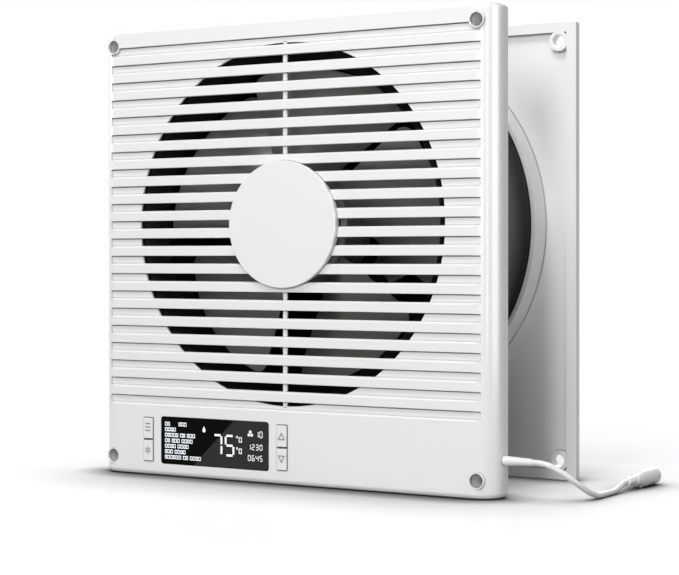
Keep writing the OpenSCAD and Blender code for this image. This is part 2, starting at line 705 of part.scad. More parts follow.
module rotor_yoke() color(STEEL) at_front() fan_turned([
    [shaft_r + 0.02, yoke_at], [yoke_r, yoke_at], [yoke_r, yoke_end], [yoke_r - yoke_t, yoke_end],
    [yoke_r - yoke_t, yoke_at + yoke_t], [bearing_r - 1, yoke_at + yoke_t],
    [bearing_r - 1, front_bearing_at - gap], [shaft_r + 0.02, front_bearing_at - gap]]);

module rotor_magnet() color([0.2, 0.2, 0.22]) at_front()
    fan_ring(magnet_r - magnet_t, magnet_r, magnet_at, magnet_end);

module motor_shaft() color(STEEL) at_front() fan_turned([
    [0, yoke_at], [shaft_r, yoke_at], [shaft_r, clip_at], [shaft_r - 0.6, clip_at],
    [shaft_r - 0.6, clip_at + clip_t], [shaft_r, clip_at + clip_t], [shaft_r, shaft_end], [0, shaft_end]]);

module shaft_clip() color(STEEL) at_front() difference() {
    fan_ring(shaft_r - 0.55, bearing_r - 2.2, clip_at + 0.05, clip_at + clip_t - 0.05);
    block(-1.2, 1.2, clip_at - cut, clip_at + clip_t + cut, fan_z - bearing_r, fan_z);
}

// Plate with its rim, bosses and collar towards the wall and louvres towards the other room
module rear_plate() color(WHITE) at_front() difference() {
    union() {
        difference() {
            translate([0, rear_back, 0]) mirror([0, 1, 0])
                rounded_body(plate_w, plate_h, rear_d, rear_edge_r, rear_edge_r);
            block(-plate_w / 2 + rim_w, plate_w / 2 - rim_w, rear_at - cut, panel_at, rim_w, plate_h - rim_w);
            translate([0, rear_back, 0]) mirror([0, 1, 0])
                grooves(rear_grooves, rear_groove_depth, rear_groove_depth / 2);
            slots(rear_grooves, duct_r - 1, panel_at - cut, rear_back + cut);
        }
        bar(0, fan_z, cap_r, panel_at, rear_back);
        for (p = rear_hole_xz)
            bar(p[0], p[1], rear_boss_r, rear_at, panel_at + sink);
        fan_ring(collar_r - collar_t, collar_r, rear_at - collar_out, panel_at + sink);
    }
    for (p = rear_hole_xz)
        bar(p[0], p[1], rear_hole_r, rear_at - cut, rear_back + cut);
}

// Sleeve that the lead leaves the front unit through, held in the wall between two collars
module lead_relief() color([0.85, 0.85, 0.85])
    translate([0, front_y + lead_at, lead_z]) rotate([0, 90, 0]) {
        x = plate_w / 2;
        r = lead_d / 2;
        translate([0, 0, x - wall_t - 2.6]) cylinder(r = r + 1.25, h = 1.6);
        translate([0, 0, x - wall_t - 1.6]) cylinder(r = r + 0.9, h = wall_t + 2.2);
        translate([0, 0, x]) cylinder(r = r + 1.25, h = 1);
        translate([0, 0, x + 0.5]) cylinder(r1 = r + 0.9, r2 = r + 0.3, h = relief_l - 0.5);
    }

module lead_tail() color([0.6, 0.6, 0.6])
    translate([board_x1, front_y + lead_at, lead_z]) rotate([0, 90, 0])
        cylinder(r = 1.3, h = plate_w / 2 - wall_t - 2.6 - board_x1);

module power_lead() color([0.85, 0.85, 0.85])
    translate(lead_start) swept_tube(LEAD_ROUTE, lead_d / 2, 8, [0, 0, 1]);

// Draws the socket's pieces along its own axis, from the end of the lead
module at_jack() {
    translate(lead_start + LEAD_ROUTE[len(LEAD_ROUTE) - 1]) rotate([-90, 0, 0]) children();
}

module jack_relief() color([0.85, 0.85, 0.85]) at_jack() difference() {
    cylinder(r1 = lead_d / 2 + 0.8, r2 = jack_d / 2 - 2.2, h = jack_relief_l);
    for (z = [2 : 2.4 : jack_relief_l - 2])
        difference() {
            translate([0, 0, z]) cylinder(r = jack_d, h = 1);
            translate([0, 0, z - cut]) cylinder(r = lead_d / 2 + 0.5, h = 1 + 2 * cut);
        }
}

module jack_body() color([0.85, 0.85, 0.85]) at_jack() difference() {
    union() {
        translate([0, 0, jack_relief_l])
            cylinder(r1 = jack_d / 2 - 1.8, r2 = jack_d / 2, h = jack_taper_l);
        translate([0, 0, jack_relief_l + jack_taper_l]) cylinder(r = jack_d / 2, h = jack_barrel_l);
    }
    translate([0, 0, jack_relief_l + jack_taper_l + jack_barrel_l - 14]) cylinder(r = 3.2, h = 14 + cut);
}

// Sprung sleeve and centre pin inside the socket
module jack_contact() color(STEEL) at_jack()
    translate([0, 0, jack_relief_l + jack_taper_l + jack_barrel_l - 14]) {
        difference() {
            cylinder(r = 3.2, h = 12);
            translate([0, 0, 1]) cylinder(r = 2.8, h = 12);
        }
        cylinder(r = 1, h = 11);
    }

front_shell();
hub_cap();
rear_cover();
cover_screws();
display_window();
lcd_glass();
lcd_backlight();
control_board();
board_parts();
thermistor();
board_screws();
switch_bodies();
button_menu();
button_fan();
button_up();
button_down();
plunger_menu();
plunger_fan();
plunger_up();
plunger_down();
fan_frame();
clamp_ring();
frame_screws();
duct_seal();
bearing_tube();
front_bearing();
rear_bearing();
stator_core();
stator_coils();
motor_board();
motor_cable();
impeller();
rotor_yoke();
rotor_magnet();
motor_shaft();
shaft_clip();
rear_plate();
lead_relief();
lead_tail();
power_lead();
jack_relief();
jack_body();
jack_contact();
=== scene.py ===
import math
import bmesh
import bpy
from mathutils import Matrix, Vector


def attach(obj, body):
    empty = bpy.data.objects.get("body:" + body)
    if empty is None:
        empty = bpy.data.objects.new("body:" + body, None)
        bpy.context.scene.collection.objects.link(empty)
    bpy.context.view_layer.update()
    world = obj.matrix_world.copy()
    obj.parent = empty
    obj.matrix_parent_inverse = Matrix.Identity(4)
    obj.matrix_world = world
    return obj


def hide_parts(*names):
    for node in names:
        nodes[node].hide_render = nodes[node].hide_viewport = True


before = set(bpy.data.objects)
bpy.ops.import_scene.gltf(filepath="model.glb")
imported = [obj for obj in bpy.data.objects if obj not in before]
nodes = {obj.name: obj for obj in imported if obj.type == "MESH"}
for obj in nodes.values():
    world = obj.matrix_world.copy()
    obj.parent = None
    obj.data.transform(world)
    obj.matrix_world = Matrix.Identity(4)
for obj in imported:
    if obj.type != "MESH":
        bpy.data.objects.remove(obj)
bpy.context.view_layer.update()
scene = bpy.context.scene
scene.view_settings.view_transform = "Standard"

# Sizes in millimetres. Depths are measured back from the front face, heights from the floor.
FRONT = -0.0579               # the front face, in metres
PLATE = 286.0                 # width and height of both plates
HALF = PLATE / 2
FAN = 159.0                   # height of the fan's axis
UNIT_D = 19.5                 # depth of the front unit with its cover
SHELL_D = 17.1                # depth of the front shell
FACE_T = 3.2
WALL_T = 2.4
SIDE_R = 14.0
EDGE_R = 3.6
FRONT_ROWS = 21               # grooves of the front and of the rear plate
REAR_ROWS = 24
PITCH = 11.16                 # from one groove to the next
FIRST_GROOVE = PLATE - 12.15  # top line of the first groove
GROOVE_H = 5.58
GROOVE_D = 1.5
GROOVE_END = 134.4
BEVEL_H = 0.7
SLIT_H = 0.6
SLIT_D = 0.9
SOFT = 0.4                    # rounding of the louvres' edges
OPENING_R = 111.0
RIB_W = 2.8
CAP_R = 38.8
CAP_OUT = 2.7
RECESS_R = 4.15               # recess over a wall screw
SCREW_HOLE_R = 2.25
LENS = (-93.4, -11.0, 7.9, 37.8)
LENS_AT = 0.15
LENS_T = 1.6
LENS_PLAY = 0.05
MARK_T = 0.05                 # thickness of a mark on the lens
BUTTON_W = 7.3
BUTTON_H = 13.5
BUTTON_OUT = 0.8
BUTTONS = {"menu": (-103.35, 29.75), "fan": (-103.35, 15.95), "up": (-1.05, 29.75), "down": (-1.05, 15.95)}
BUTTON_GAP = 0.4              # taken off each of the two edges that face each other
BUTTON_PLAY = 0.3
SIGN_T = 0.14                 # thickness of a raised sign
DUCT_R = 113.0
DUCT_IN_R = 110.5
DUCT_AT = 3.25
DUCT_END = 108.0
SHOULDER_R = 114.6
THROAT_R = 99.5
THROAT_T = 2.0
BELL_AT = 5.2
BELL_L = 11.8
SEAT_AT = 56.0
SEAT_R = 37.0
STRUT_AT = 54.0
STRUT_END = 60.0
STRUT_W = 6.0
HUB_R = 36.0
HUB_T = 2.5
HUB_AT = 13.0
HUB_END = 46.0
HUB_BORE_R = 2.97
BLADES = 5
BLADE_R = 97.0
BLADE_T = 2.2
BLADE_AT = 17.0
BLADE_D = 21.5                # depth from a blade's front edge to its back edge
BLADE_CORNER = 7.0            # rounding of the corners at the tip
REAR_AT = 112.6               # front of the rear plate
REAR_BACK = 118.5
PANEL_AT = 116.0
RIM_W = 6.5
REAR_BOSS_R = 6.5
REAR_HOLE_R = 3.9
COLLAR_R = 121.0
COLLAR_T = 2.9
COLLAR_AT = 100.5
LEAD_D = 3.5
WELL_R = 5.0                  # well round a screw of the cover
WELL_D = 2.4
CABLE_HOLE = (-64.98, 62.67)  # where the motor's cable goes through the cover
CABLE_HOLE_R = 2.2
SINK = 0.4                    # how far a boss sinks into what it stands on


def corners(inset):
    """The same place in each corner of a plate."""
    return [(x, z) for x in (inset - HALF, HALF - inset) for z in (inset, PLATE - inset)]


CORNERS = corners(11.0)
REAR_CORNERS = corners(12.0)
COVER_SCREWS = [place for side in (-1, 1) for place in (
    (side * PLATE * 0.245, PLATE - 8), (side * (HALF - 10), PLATE * 0.7), (side * (HALF - 10), PLATE * 0.21))]


# Camera

def make_camera():
    """Level camera with a long lens, in front of the object and to its right."""
    data = bpy.data.cameras.new("camera")
    data.sensor_fit = "HORIZONTAL"
    data.sensor_width = 36.0
    data.lens = 97.21
    data.shift_y = -0.04206
    data.clip_start = 0.01
    data.clip_end = 60.0
    camera = bpy.data.objects.new("camera", data)
    camera.location = (0.61828, -0.98912, 0.13796)
    camera.rotation_euler = (math.radians(90), 0, math.radians(31.83))
    scene.collection.objects.link(camera)
    scene.camera = camera


make_camera()


# Mesh tools: shapes are drawn in millimetres across, deep and high, and placed when they are finished

TO_FRAME = Matrix.Translation((0.0, FRONT, 0.0)) @ Matrix.Scale(0.001, 4)


def edges_among(verts):
    """Edges with both ends among some corners."""
    inside = set(verts)
    return {edge for vert in verts for edge in vert.link_edges if edge.other_vert(vert) in inside}


def running_back(verts, over=1.0):
    """Edges among some corners that run from front to back."""
    return [e for e in edges_among(verts) if abs(e.verts[0].co.y - e.verts[1].co.y) > over]


def at_front(edges, depth):
    """Edges that lie at a depth or before it."""
    return [e for e in edges if all(v.co.y < depth + 0.01 for v in e.verts)]


def at_back(edges, depth):
    """Edges that lie at a depth or behind it."""
    return [e for e in edges if all(v.co.y > depth - 0.01 for v in e.verts)]


def front_uprights(verts, depth):
    """Upright edges at the front of a box."""
    return [e for e in at_front(edges_among(verts), depth) if abs(e.verts[0].co.x - e.verts[1].co.x) < 0.01]


def soften(bm, edges, radius, segments=3):
    """Rounds edges off."""
    bmesh.ops.bevel(bm, geom=list(edges), offset=radius, offset_type="OFFSET", segments=segments, profile=0.5,
                    affect="EDGES", clamp_overlap=True, material=-1)


def sharp_edges(bm, over=30.0):
    """Edges that bend by more than an angle in degrees."""
    bmesh.ops.recalc_face_normals(bm, faces=bm.faces)
    limit = math.radians(over)
    return [edge for edge in bm.edges if edge.is_manifold and edge.calc_face_angle(0.0) > limit]


def block(bm, x0, x1, d0, d1, z0, z1, radius=0.0, segments=3):
    """Adds a box between two corners, with rounded edges where a radius is given."""
    place = Matrix.Translation(((x0 + x1) / 2, (d0 + d1) / 2, (z0 + z1) / 2))
    size = Matrix.Diagonal((x1 - x0, d1 - d0, z1 - z0, 1.0))
    verts = bmesh.ops.create_cube(bm, size=1.0, matrix=place @ size)["verts"]
    if radius:
        soften(bm, edges_among(verts), radius, segments)
    return verts


def plug(radius, front, back):
    """Outline of a plain round bar."""
    return [(0, front), (radius, front), (radius, back), (0, back)]


def tube(inner, outer, front, back):
    """Outline of a plain tube."""
    return [(inner, front), (outer, front), (outer, back), (inner, back)]


def turned(bm, outline, x=0.0, z=FAN, steps=96, rim=0.0, segments=3):
    """Turns points of radius and depth about a line straight back, to a ring if they start off it."""
    part = bmesh.new()
    verts = [part.verts.new((r, d, 0.0)) for r, d in outline]
    pairs = list(zip(verts, verts[1:]))
    if outline[0][0] > 0:
        pairs.append((verts[-1], verts[0]))
    edges = [part.edges.new(pair) for pair in pairs]
    bmesh.ops.spin(part, geom=verts + edges, cent=(0, 0, 0), axis=(0, 1, 0), angle=math.tau, steps=steps,
                   use_merge=True, use_duplicate=False)
    bmesh.ops.remove_doubles(part, verts=part.verts, dist=1e-4)
    if rim:
        soften(part, sharp_edges(part), rim, segments)
    bmesh.ops.translate(part, verts=part.verts, vec=(x, 0.0, z))
    add(bm, part)


def turned_at(bm, places, outline, steps, rim=0.0, segments=3):
    """Adds the same turned shape at each place."""
    for x, z in places:
        turned(bm, outline, x=x, z=z, steps=steps, rim=rim, segments=segments)


def add(bm, part):
    """Adds a finished shape to another."""
    bmesh.ops.recalc_face_normals(part, faces=part.faces)
    mesh = bpy.data.meshes.new("part")
    part.to_mesh(mesh)
    part.free()
    bm.from_mesh(mesh)
    bpy.data.meshes.remove(mesh)


def add_turned(bm, part, angle, x=0.0, z=0.0):
    """Adds a finished shape, first turned in the plane of the front and then moved."""
    bmesh.ops.rotate(part, verts=part.verts, cent=(0, 0, 0), matrix=Matrix.Rotation(angle, 3, "Y"))
    bmesh.ops.translate(part, verts=part.verts, vec=(x, 0, z))
    add(bm, part)


def draw_out(part, face, way):
    """Draws a face out along a straight line."""
    drawn = bmesh.ops.extrude_face_region(part, geom=[face])["geom"]
    bmesh.ops.translate(part, verts=[v for v in drawn if isinstance(v, bmesh.types.BMVert)], vec=way)


def shaped(base, tool, operation):
    """Cuts one closed shape from another, joins them, or keeps what they share."""
    pieces = []
    for bm in (base, tool):
        bmesh.ops.recalc_face_normals(bm, faces=bm.faces)
        mesh = bpy.data.meshes.new("shape")
        bm.to_mesh(mesh)
        bm.free()
        piece = bpy.data.objects.new("shape", mesh)
        scene.collection.objects.link(piece)
        pieces.append(piece)
    job = pieces[0].modifiers.new("shape", "BOOLEAN")
    job.object = pieces[1]
    job.operation = operation
    job.solver = "EXACT"
    mesh = bpy.data.meshes.new_from_object(pieces[0].evaluated_get(bpy.context.evaluated_depsgraph_get()))
    result = bmesh.new()
    result.from_mesh(mesh)
    bpy.data.meshes.remove(mesh)
    for piece in pieces:
        mesh = piece.data
        bpy.data.objects.remove(piece)
        bpy.data.meshes.remove(mesh)
    return result


def cut(base, tool):
    """Cuts the second closed shape from the first."""
    return shaped(base, tool, "DIFFERENCE")


def mesh_object(name, bm, sharp=35.0, place=TO_FRAME, weighted=True):
    """A finished piece: smooth faces, with edges over the angle kept sharp."""
    bmesh.ops.transform(bm, matrix=place, verts=bm.verts)
    bmesh.ops.remove_doubles(bm, verts=bm.verts, dist=1e-7)
    bmesh.ops.dissolve_degenerate(bm, dist=1e-7, edges=bm.edges)
    bmesh.ops.recalc_face_normals(bm, faces=bm.faces)
    limit = math.radians(sharp)
    for face in bm.faces:
        face.smooth = True
    for edge in bm.edges:
        edge.smooth = edge.is_manifold and edge.calc_face_angle(0.0) < limit
    mesh = bpy.data.meshes.new(name)
    bm.to_mesh(mesh)
    bm.free()
    piece = bpy.data.objects.new(name, mesh)
    scene.collection.objects.link(piece)
    if weighted:
        shading = piece.modifiers.new("shading", "WEIGHTED_NORMAL")
        shading.keep_sharp = True
    return piece


def fitted(piece, body, slot, *replaced):
    """Ties a piece to its body and puts it in place of CAD nodes; the finish it is given is not used."""
    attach(piece, body)
    if replaced:
        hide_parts(*replaced)
    return piece


# Lead, laid from the end of its sleeve down to the floor and back to the socket

LEAD = [
    (0.161, -0.044, 0.022), (0.164, -0.044, 0.022), (0.169, -0.0434, 0.0212), (0.1745, -0.0416, 0.0186),
    (0.1795, -0.0386, 0.0149), (0.1836, -0.0344, 0.0109), (0.1864, -0.0291, 0.007), (0.188, -0.023, 0.004),
    (0.1886, -0.0166, 0.0023), (0.1886, -0.01, 0.0018), (0.1886, -0.004, 0.0018), (0.1886, 0.002, 0.0018),
    (0.1886, 0.008, 0.002), (0.1886, 0.0136, 0.0029), (0.1886, 0.019, 0.0043), (0.1886, 0.024, 0.0052),
    (0.1886, 0.0265, 0.0053),
]
LEAD_INSET = 0.00003          # in metres, keeps the round lead inside its solid
JACK_RELIEF_L = 11.3
JACK_TAPER_L = 9.5
JACK_BARREL_L = 21.0
JACK_R = 5.2
JACK_BORE_R = 3.2
JACK_BORE_D = 14.0
JACK_PLACE = Matrix.Translation(LEAD[-1]) @ Matrix.Scale(0.001, 4)
SLEEVE_AT = (HALF, 13.9, 22.0)
SLEEVE_L = 18.0


def make_lead():
    """Round lead swept along its route, closed at both ends."""
    curve = bpy.data.curves.new("route", "CURVE")
    curve.dimensions = "3D"
    curve.bevel_depth = LEAD_D / 2000 - LEAD_INSET
    curve.bevel_resolution = 5
    curve.resolution_u = 6
    curve.use_fill_caps = True
    spline = curve.splines.new("BEZIER")
    spline.bezier_points.add(len(LEAD) - 1)
    for point, place in zip(spline.bezier_points, LEAD):
        point.co = place
        point.handle_left_type = "AUTO"
        point.handle_right_type = "AUTO"
    route = bpy.data.objects.new("route", curve)
    scene.collection.objects.link(route)
    mesh = bpy.data.meshes.new_from_object(route.evaluated_get(bpy.context.evaluated_depsgraph_get()))
    bpy.data.objects.remove(route)
    bpy.data.curves.remove(curve)
    bm = bmesh.new()
    bm.from_mesh(mesh)
    bpy.data.meshes.remove(mesh)
    piece = mesh_object("lead", bm, place=Matrix.Identity(4))
    fitted(piece, "front_unit", "lead_white", "power_lead")
    return piece


def make_jack_relief():
    """Tapered strain relief, cut through from four sides so that it bends."""
    bm = bmesh.new()
    tip = LEAD_D / 2 + 0.85
    outline = [(0, 0), (tip, 0), (tip - 0.1, 1.2), (JACK_R - 2.25, JACK_RELIEF_L), (0, JACK_RELIEF_L)]
    turned(bm, outline, z=0, steps=48, rim=0.25, segments=2)
    cuts = bmesh.new()
    for i in range(6):
        at = 1.0 + 1.55 * i
        for turn in range(4):
            slot = bmesh.new()
            block(slot, 1.95, 5.0, at, at + 0.75, -1.9, 1.9)
            add_turned(cuts, slot, math.radians(90 * turn + 45))
    return mesh_object("jack_strain_relief", cut(bm, cuts), place=JACK_PLACE)


def make_jack_body():
    """Socket body: neck, taper with two flats, plain barrel and bore."""
    bm = bmesh.new()
    neck = JACK_RELIEF_L
    barrel = neck + JACK_TAPER_L
    end = barrel + JACK_BARREL_L
    outside = [(0, neck), (JACK_R - 1.85, neck), (JACK_R - 1.75, neck + 3.0), (JACK_R, barrel - 0.5),
               (JACK_R, end)]
    bore = [(JACK_BORE_R, end), (JACK_BORE_R, end - JACK_BORE_D), (0, end - JACK_BORE_D)]
    turned(bm, outside + bore, z=0, steps=64, rim=0.35)
    flats = bmesh.new()
    for angle in (math.pi, 0):
        flat = bmesh.new()
        block(flat, -3, 3, neck + 2.6, barrel - 0.6, JACK_R - 1.7, JACK_R + 2.3, radius=0.5)
        add_turned(flats, flat, angle)
    return mesh_object("jack_barrel", cut(bm, flats), place=JACK_PLACE)


def make_lead_sleeve():
    """Tapered sleeve that the lead leaves the shell through, with its collar inside the wall."""
    bm = bmesh.new()
    r = LEAD_D / 2
    turned(bm, [(0, -5), (r + 1.2, -5), (r + 1.2, -3.4), (r + 0.85, -3.4), (r + 0.85, 0.02), (r + 1.2, 0.02),
                (r + 1.15, 1.0), (r + 0.3, SLEEVE_L), (0, SLEEVE_L)], z=0, steps=48, rim=0.2, segments=2)
    turn = Matrix.Translation(SLEEVE_AT) @ Matrix.Rotation(math.radians(-90), 4, "Z")
    return mesh_object("lead_sleeve", bm, place=TO_FRAME @ turn)


sleeve = fitted(make_lead_sleeve(), "front_unit", "lead_white", "lead_relief")
jack_relief = fitted(make_jack_relief(), "front_unit", "lead_white", "jack_relief")
jack_body = fitted(make_jack_body(), "front_unit", "lead_white", "jack_body")
lead = make_lead()


# Louvres of both plates

def bent(start, corner, end, steps=4):
    """Points of a rounded corner."""
    out = []
    for i in range(steps + 1):
        t = i / steps
        first, second, third = (1 - t) ** 2, 2 * t * (1 - t), t * t
        out.append(tuple(first * a + second * b + third * c for a, b, c in zip(start, corner, end)))
    return out


def prism(bm, outline, x0, x1):
    """Adds an outline of depth and height, drawn out across from x0 to x1."""
    part = bmesh.new()
    face = part.faces.new([part.verts.new((x0, d, z)) for d, z in outline])
    draw_out(part, face, (x1 - x0, 0, 0))
    add(bm, part)


def groove_outline(top, depth, slit, through):
    """Cut with a rounded upper lip and a bevel below: to the floor of a groove, or right through."""
    low = top - GROOVE_H
    floor = low + BEVEL_H
    upper = [(-1.0, top + SOFT)] + bent((0.0, top + SOFT), (0.0, top), (SOFT, top))
    lower = bent((0.6 * depth, low + 0.6 * BEVEL_H), (0.0, low), (0.0, low - SOFT)) + [(-1.0, low - SOFT)]
    if through:
        inner = [(through, top), (through, floor), (depth, floor)]
    else:
        inner = [(depth + slit, top), (depth + slit, top - SLIT_H), (depth, top - SLIT_H), (depth, floor)]
    return upper + inner + lower


def shell_blank():
    """Front shell before its louvres: rounded body, hollow, with four corner posts."""
    bm = bmesh.new()
    verts = block(bm, -HALF, HALF, 0, SHELL_D, 0, PLATE)
    soften(bm, front_uprights(verts, 0), SIDE_R, 32)
    ends = [e for e in bm.edges if abs(e.verts[0].co.z - e.verts[1].co.z) < 0.01
            and (e.verts[0].co.z < 0.01 or e.verts[0].co.z > PLATE - 0.01)
            and not all(v.co.y > SHELL_D - 0.01 for v in e.verts)]
    soften(bm, ends, EDGE_R, 13)
    cavity = bmesh.new()
    inner = HALF - WALL_T
    verts = block(cavity, -inner, inner, FACE_T, SHELL_D + 2, WALL_T, PLATE - WALL_T)
    soften(cavity, front_uprights(verts, FACE_T), SIDE_R - WALL_T, 10)
    bm = cut(bm, cavity)
    posts = bmesh.new()
    turned_at(posts, CORNERS, plug(5.6, 3.05, SHELL_D), 40)
    return shaped(bm, posts, "UNION")


def flared_pocket(bm, x0, x1, z0, z1, depth, corner, flare):
    """Pocket in the front face with rounded corners and a softened mouth."""
    part = bmesh.new()
    verts = block(part, x0, x1, flare, depth, z0, z1)
    soften(part, running_back(verts, 0.1), corner, 6)
    bmesh.ops.recalc_face_normals(part, faces=part.faces)
    mouth = min(part.faces, key=lambda f: f.calc_center_median().y)
    width, height = x1 - x0, z1 - z0
    middle = Vector(((x0 + x1) / 2, 0, (z0 + z1) / 2))
    reach = 0.0
    for level, out in ((flare * 0.5, flare * 0.14), (flare * 0.14, flare * 0.5), (0.0, flare), (-1.0, flare)):
        drawn = bmesh.ops.extrude_discrete_faces(part, faces=[mouth])["faces"]
        mouth = drawn[0]
        scale = Matrix.Diagonal(((width + 2 * out) / (width + 2 * reach), 1.0,
                                 (height + 2 * out) / (height + 2 * reach), 1.0))
        bmesh.ops.transform(part, matrix=Matrix.Translation(middle) @ scale @ Matrix.Translation(-middle),
                            verts=mouth.verts)
        for vert in mouth.verts:
            vert.co.y = level
        reach = out
    add(bm, part)


def front_cuts():
    """Screw recesses, and the pockets of the lens and the buttons."""
    cuts = bmesh.new()
    behind = SHELL_D + 1
    turned_at(cuts, CORNERS, [(0, -1), (RECESS_R, -1), (RECESS_R, SHELL_D - 2), (SCREW_HOLE_R, SHELL_D - 2),
                              (SCREW_HOLE_R, behind), (0, behind)], 48)
    left, right, foot, top = LENS
    flared_pocket(cuts, left - LENS_PLAY, right + LENS_PLAY, foot - LENS_PLAY, top + LENS_PLAY,
                  LENS_AT + LENS_T + LENS_PLAY, 1.8, 0.45)
    wide = BUTTON_W / 2 + BUTTON_PLAY
    high = BUTTON_H / 2 + BUTTON_PLAY
    for upper, lower in (("menu", "fan"), ("up", "down")):
        x, z1 = BUTTONS[upper]
        z0 = BUTTONS[lower][1]
        flared_pocket(cuts, x - wide, x + wide, z0 - high, z1 + high, FACE_T + 1, 0.4, 0.3)
    return cuts


def groove_floors():
    """Floors of the front grooves with the shadow line along their tops, open round the blades."""
    floors = bmesh.new()
    slit = GROOVE_D + SLIT_D
    behind = FACE_T - 0.05
    for i in range(FRONT_ROWS):
        top = FIRST_GROOVE - i * PITCH
        low = top - GROOVE_H + BEVEL_H
        outline = [(GROOVE_D, low - 0.1), (GROOVE_D, top - SLIT_H), (slit, top - SLIT_H), (slit, top + 0.1),
                   (behind, top + 0.1), (behind, low - 0.1)]
        prism(floors, outline, -GROOVE_END - 0.1, GROOVE_END + 0.1)
    hole = bmesh.new()
    turned(hole, plug(OPENING_R, -1, 6), steps=240)
    turned_at(hole, CORNERS, plug(4.4, -1, 6), 48)
    floors = cut(floors, hole)

    def on_rim(vert):
        """Whether a corner lies on the front rim of the opening."""
        across = math.hypot(vert.co.x, vert.co.z - FAN)
        return abs(vert.co.y - GROOVE_D) < 0.01 and abs(across - OPENING_R) < 0.1

    soften(floors, [e for e in floors.edges if all(on_rim(v) for v in e.verts)], 0.35, 2)
    return floors


def make_louvred_front():
    """Front shell with its grooves, open slots round the hub, rib, pockets and screw recesses."""
    bm = shell_blank()
    rows = bmesh.new()
    for i in range(FRONT_ROWS):
        outline = groove_outline(FIRST_GROOVE - i * PITCH, GROOVE_D, SLIT_D, FACE_T + 1.2)
        prism(rows, outline, -GROOVE_END, GROOVE_END)
    hub = bmesh.new()
    turned(hub, plug(CAP_R - 1, -3, 6))
    bm = cut(bm, cut(rows, hub))
    bm = cut(bm, front_cuts())
    add(bm, groove_floors())
    turned_at(bm, CORNERS, tube(RECESS_R, RECESS_R + 0.7, 0.02, FACE_T - 0.1), 48, rim=0.12, segments=2)
    reach = OPENING_R + 1
    rib = (-RIB_W / 2, RIB_W / 2, GROOVE_D, FACE_T - 0.08, FAN - reach, FAN + reach)
    block(bm, *rib, radius=0.3, segments=2)
    return mesh_object("louvred_front", bm, sharp=8.0)


def rear_rows(through):
    """Cuts of the rear plate's rows from its back face: grooves, or slots right through."""
    rows = bmesh.new()
    for i in range(REAR_ROWS):
        part = bmesh.new()
        prism(part, groove_outline(FIRST_GROOVE - i * PITCH, 1.0, 0.5, through), -GROOVE_END, GROOVE_END)
        bmesh.ops.reverse_faces(part, faces=part.faces)
        for vert in part.verts:
            vert.co.y = REAR_BACK - vert.co.y
        add(rows, part)
    return rows


def make_rear_plate():
    """Rear plate: rim, corner bosses, collar round the duct, and louvres on the outside."""
    bm = bmesh.new()
    verts = block(bm, -HALF, HALF, REAR_AT, REAR_BACK, 0, PLATE)
    soften(bm, running_back(verts), 1.5, 6)
    soften(bm, at_back(bm.edges, REAR_BACK), 1.0, 5)
    soften(bm, at_front(bm.edges, REAR_AT), 0.35, 3)
    recess = bmesh.new()
    inner = HALF - RIM_W
    verts = block(recess, -inner, inner, REAR_AT - 2, PANEL_AT, RIM_W, PLATE - RIM_W)
    soften(recess, running_back(verts), 0.6, 3)
    bm = cut(bm, recess)
    ring = bmesh.new()
    turned(ring, tube(CAP_R, DUCT_R - 1, REAR_AT, REAR_BACK + 3), steps=180)
    bars = bmesh.new()
    block(bars, -RIB_W / 2, RIB_W / 2, REAR_AT - 2, REAR_BACK + 5, 0, PLATE)
    ring = cut(ring, bars)
    bm = cut(bm, shaped(rear_rows(REAR_BACK - PANEL_AT + 1), ring, "INTERSECT"))
    seat = bmesh.new()
    turned(seat, plug(CAP_R, REAR_AT, REAR_BACK + 3), steps=120)
    bm = cut(bm, cut(rear_rows(0), seat))
    extra = bmesh.new()
    turned_at(extra, REAR_CORNERS, plug(REAR_BOSS_R, REAR_AT, PANEL_AT + SINK), 48, rim=0.25, segments=2)
    turned(extra, tube(COLLAR_R - COLLAR_T, COLLAR_R, COLLAR_AT, PANEL_AT + SINK), steps=180, rim=0.45)
    bm = shaped(bm, extra, "UNION")
    holes = bmesh.new()
    mouth = REAR_HOLE_R + 0.3
    turned_at(holes, REAR_CORNERS, [(0, REAR_AT - 2), (mouth, REAR_AT - 2), (mouth, REAR_AT),
                                    (REAR_HOLE_R, REAR_AT + 0.3), (REAR_HOLE_R, REAR_BACK + 2),
                                    (0, REAR_BACK + 2)], 48)
    return mesh_object("rear_louvres", cut(bm, holes), sharp=19.0)


def make_back_cover():
    """Flat back of the front unit, with screw wells and holes, its outer edges rounded."""
    bm = bmesh.new()
    verts = block(bm, -HALF, HALF, SHELL_D, UNIT_D, 0, PLATE)
    soften(bm, running_back(verts), EDGE_R, 12)
    soften(bm, at_back(bm.edges, UNIT_D), 0.8, 4)
    wells = bmesh.new()
    turned_at(wells, COVER_SCREWS, plug(WELL_R, SHELL_D - WELL_D, SHELL_D + SINK), 40)
    bm = shaped(bm, wells, "UNION")
    holes = bmesh.new()
    turned(holes, plug(DUCT_R + 0.6, 10, 25), steps=200)
    turned_at(holes, [CABLE_HOLE], plug(CABLE_HOLE_R, 10, 25), 32)
    turned_at(holes, CORNERS, plug(SCREW_HOLE_R, 10, 25), 32)
    seat = UNIT_D - WELL_D
    turned_at(holes, COVER_SCREWS, [(0, 10), (1.75, 10), (1.75, seat), (3.2, seat), (3.2, UNIT_D - 0.3),
                                    (3.5, UNIT_D), (3.5, 22), (0, 22)], 32)
    return mesh_object("back_cover", cut(bm, holes), sharp=25.0)


# Fan pieces

def make_hub_cap():
    """Round cap with a softened front edge, and the peg behind it."""
    bm = bmesh.new()
    turned(bm, [(0, -CAP_OUT), (CAP_R, -CAP_OUT), (CAP_R, 0), (8, 0), (8, FACE_T), (0, FACE_T)], steps=160)
    soften(bm, at_front(sharp_edges(bm), -CAP_OUT), 0.45, 5)
    return mesh_object("centre_cap", bm)


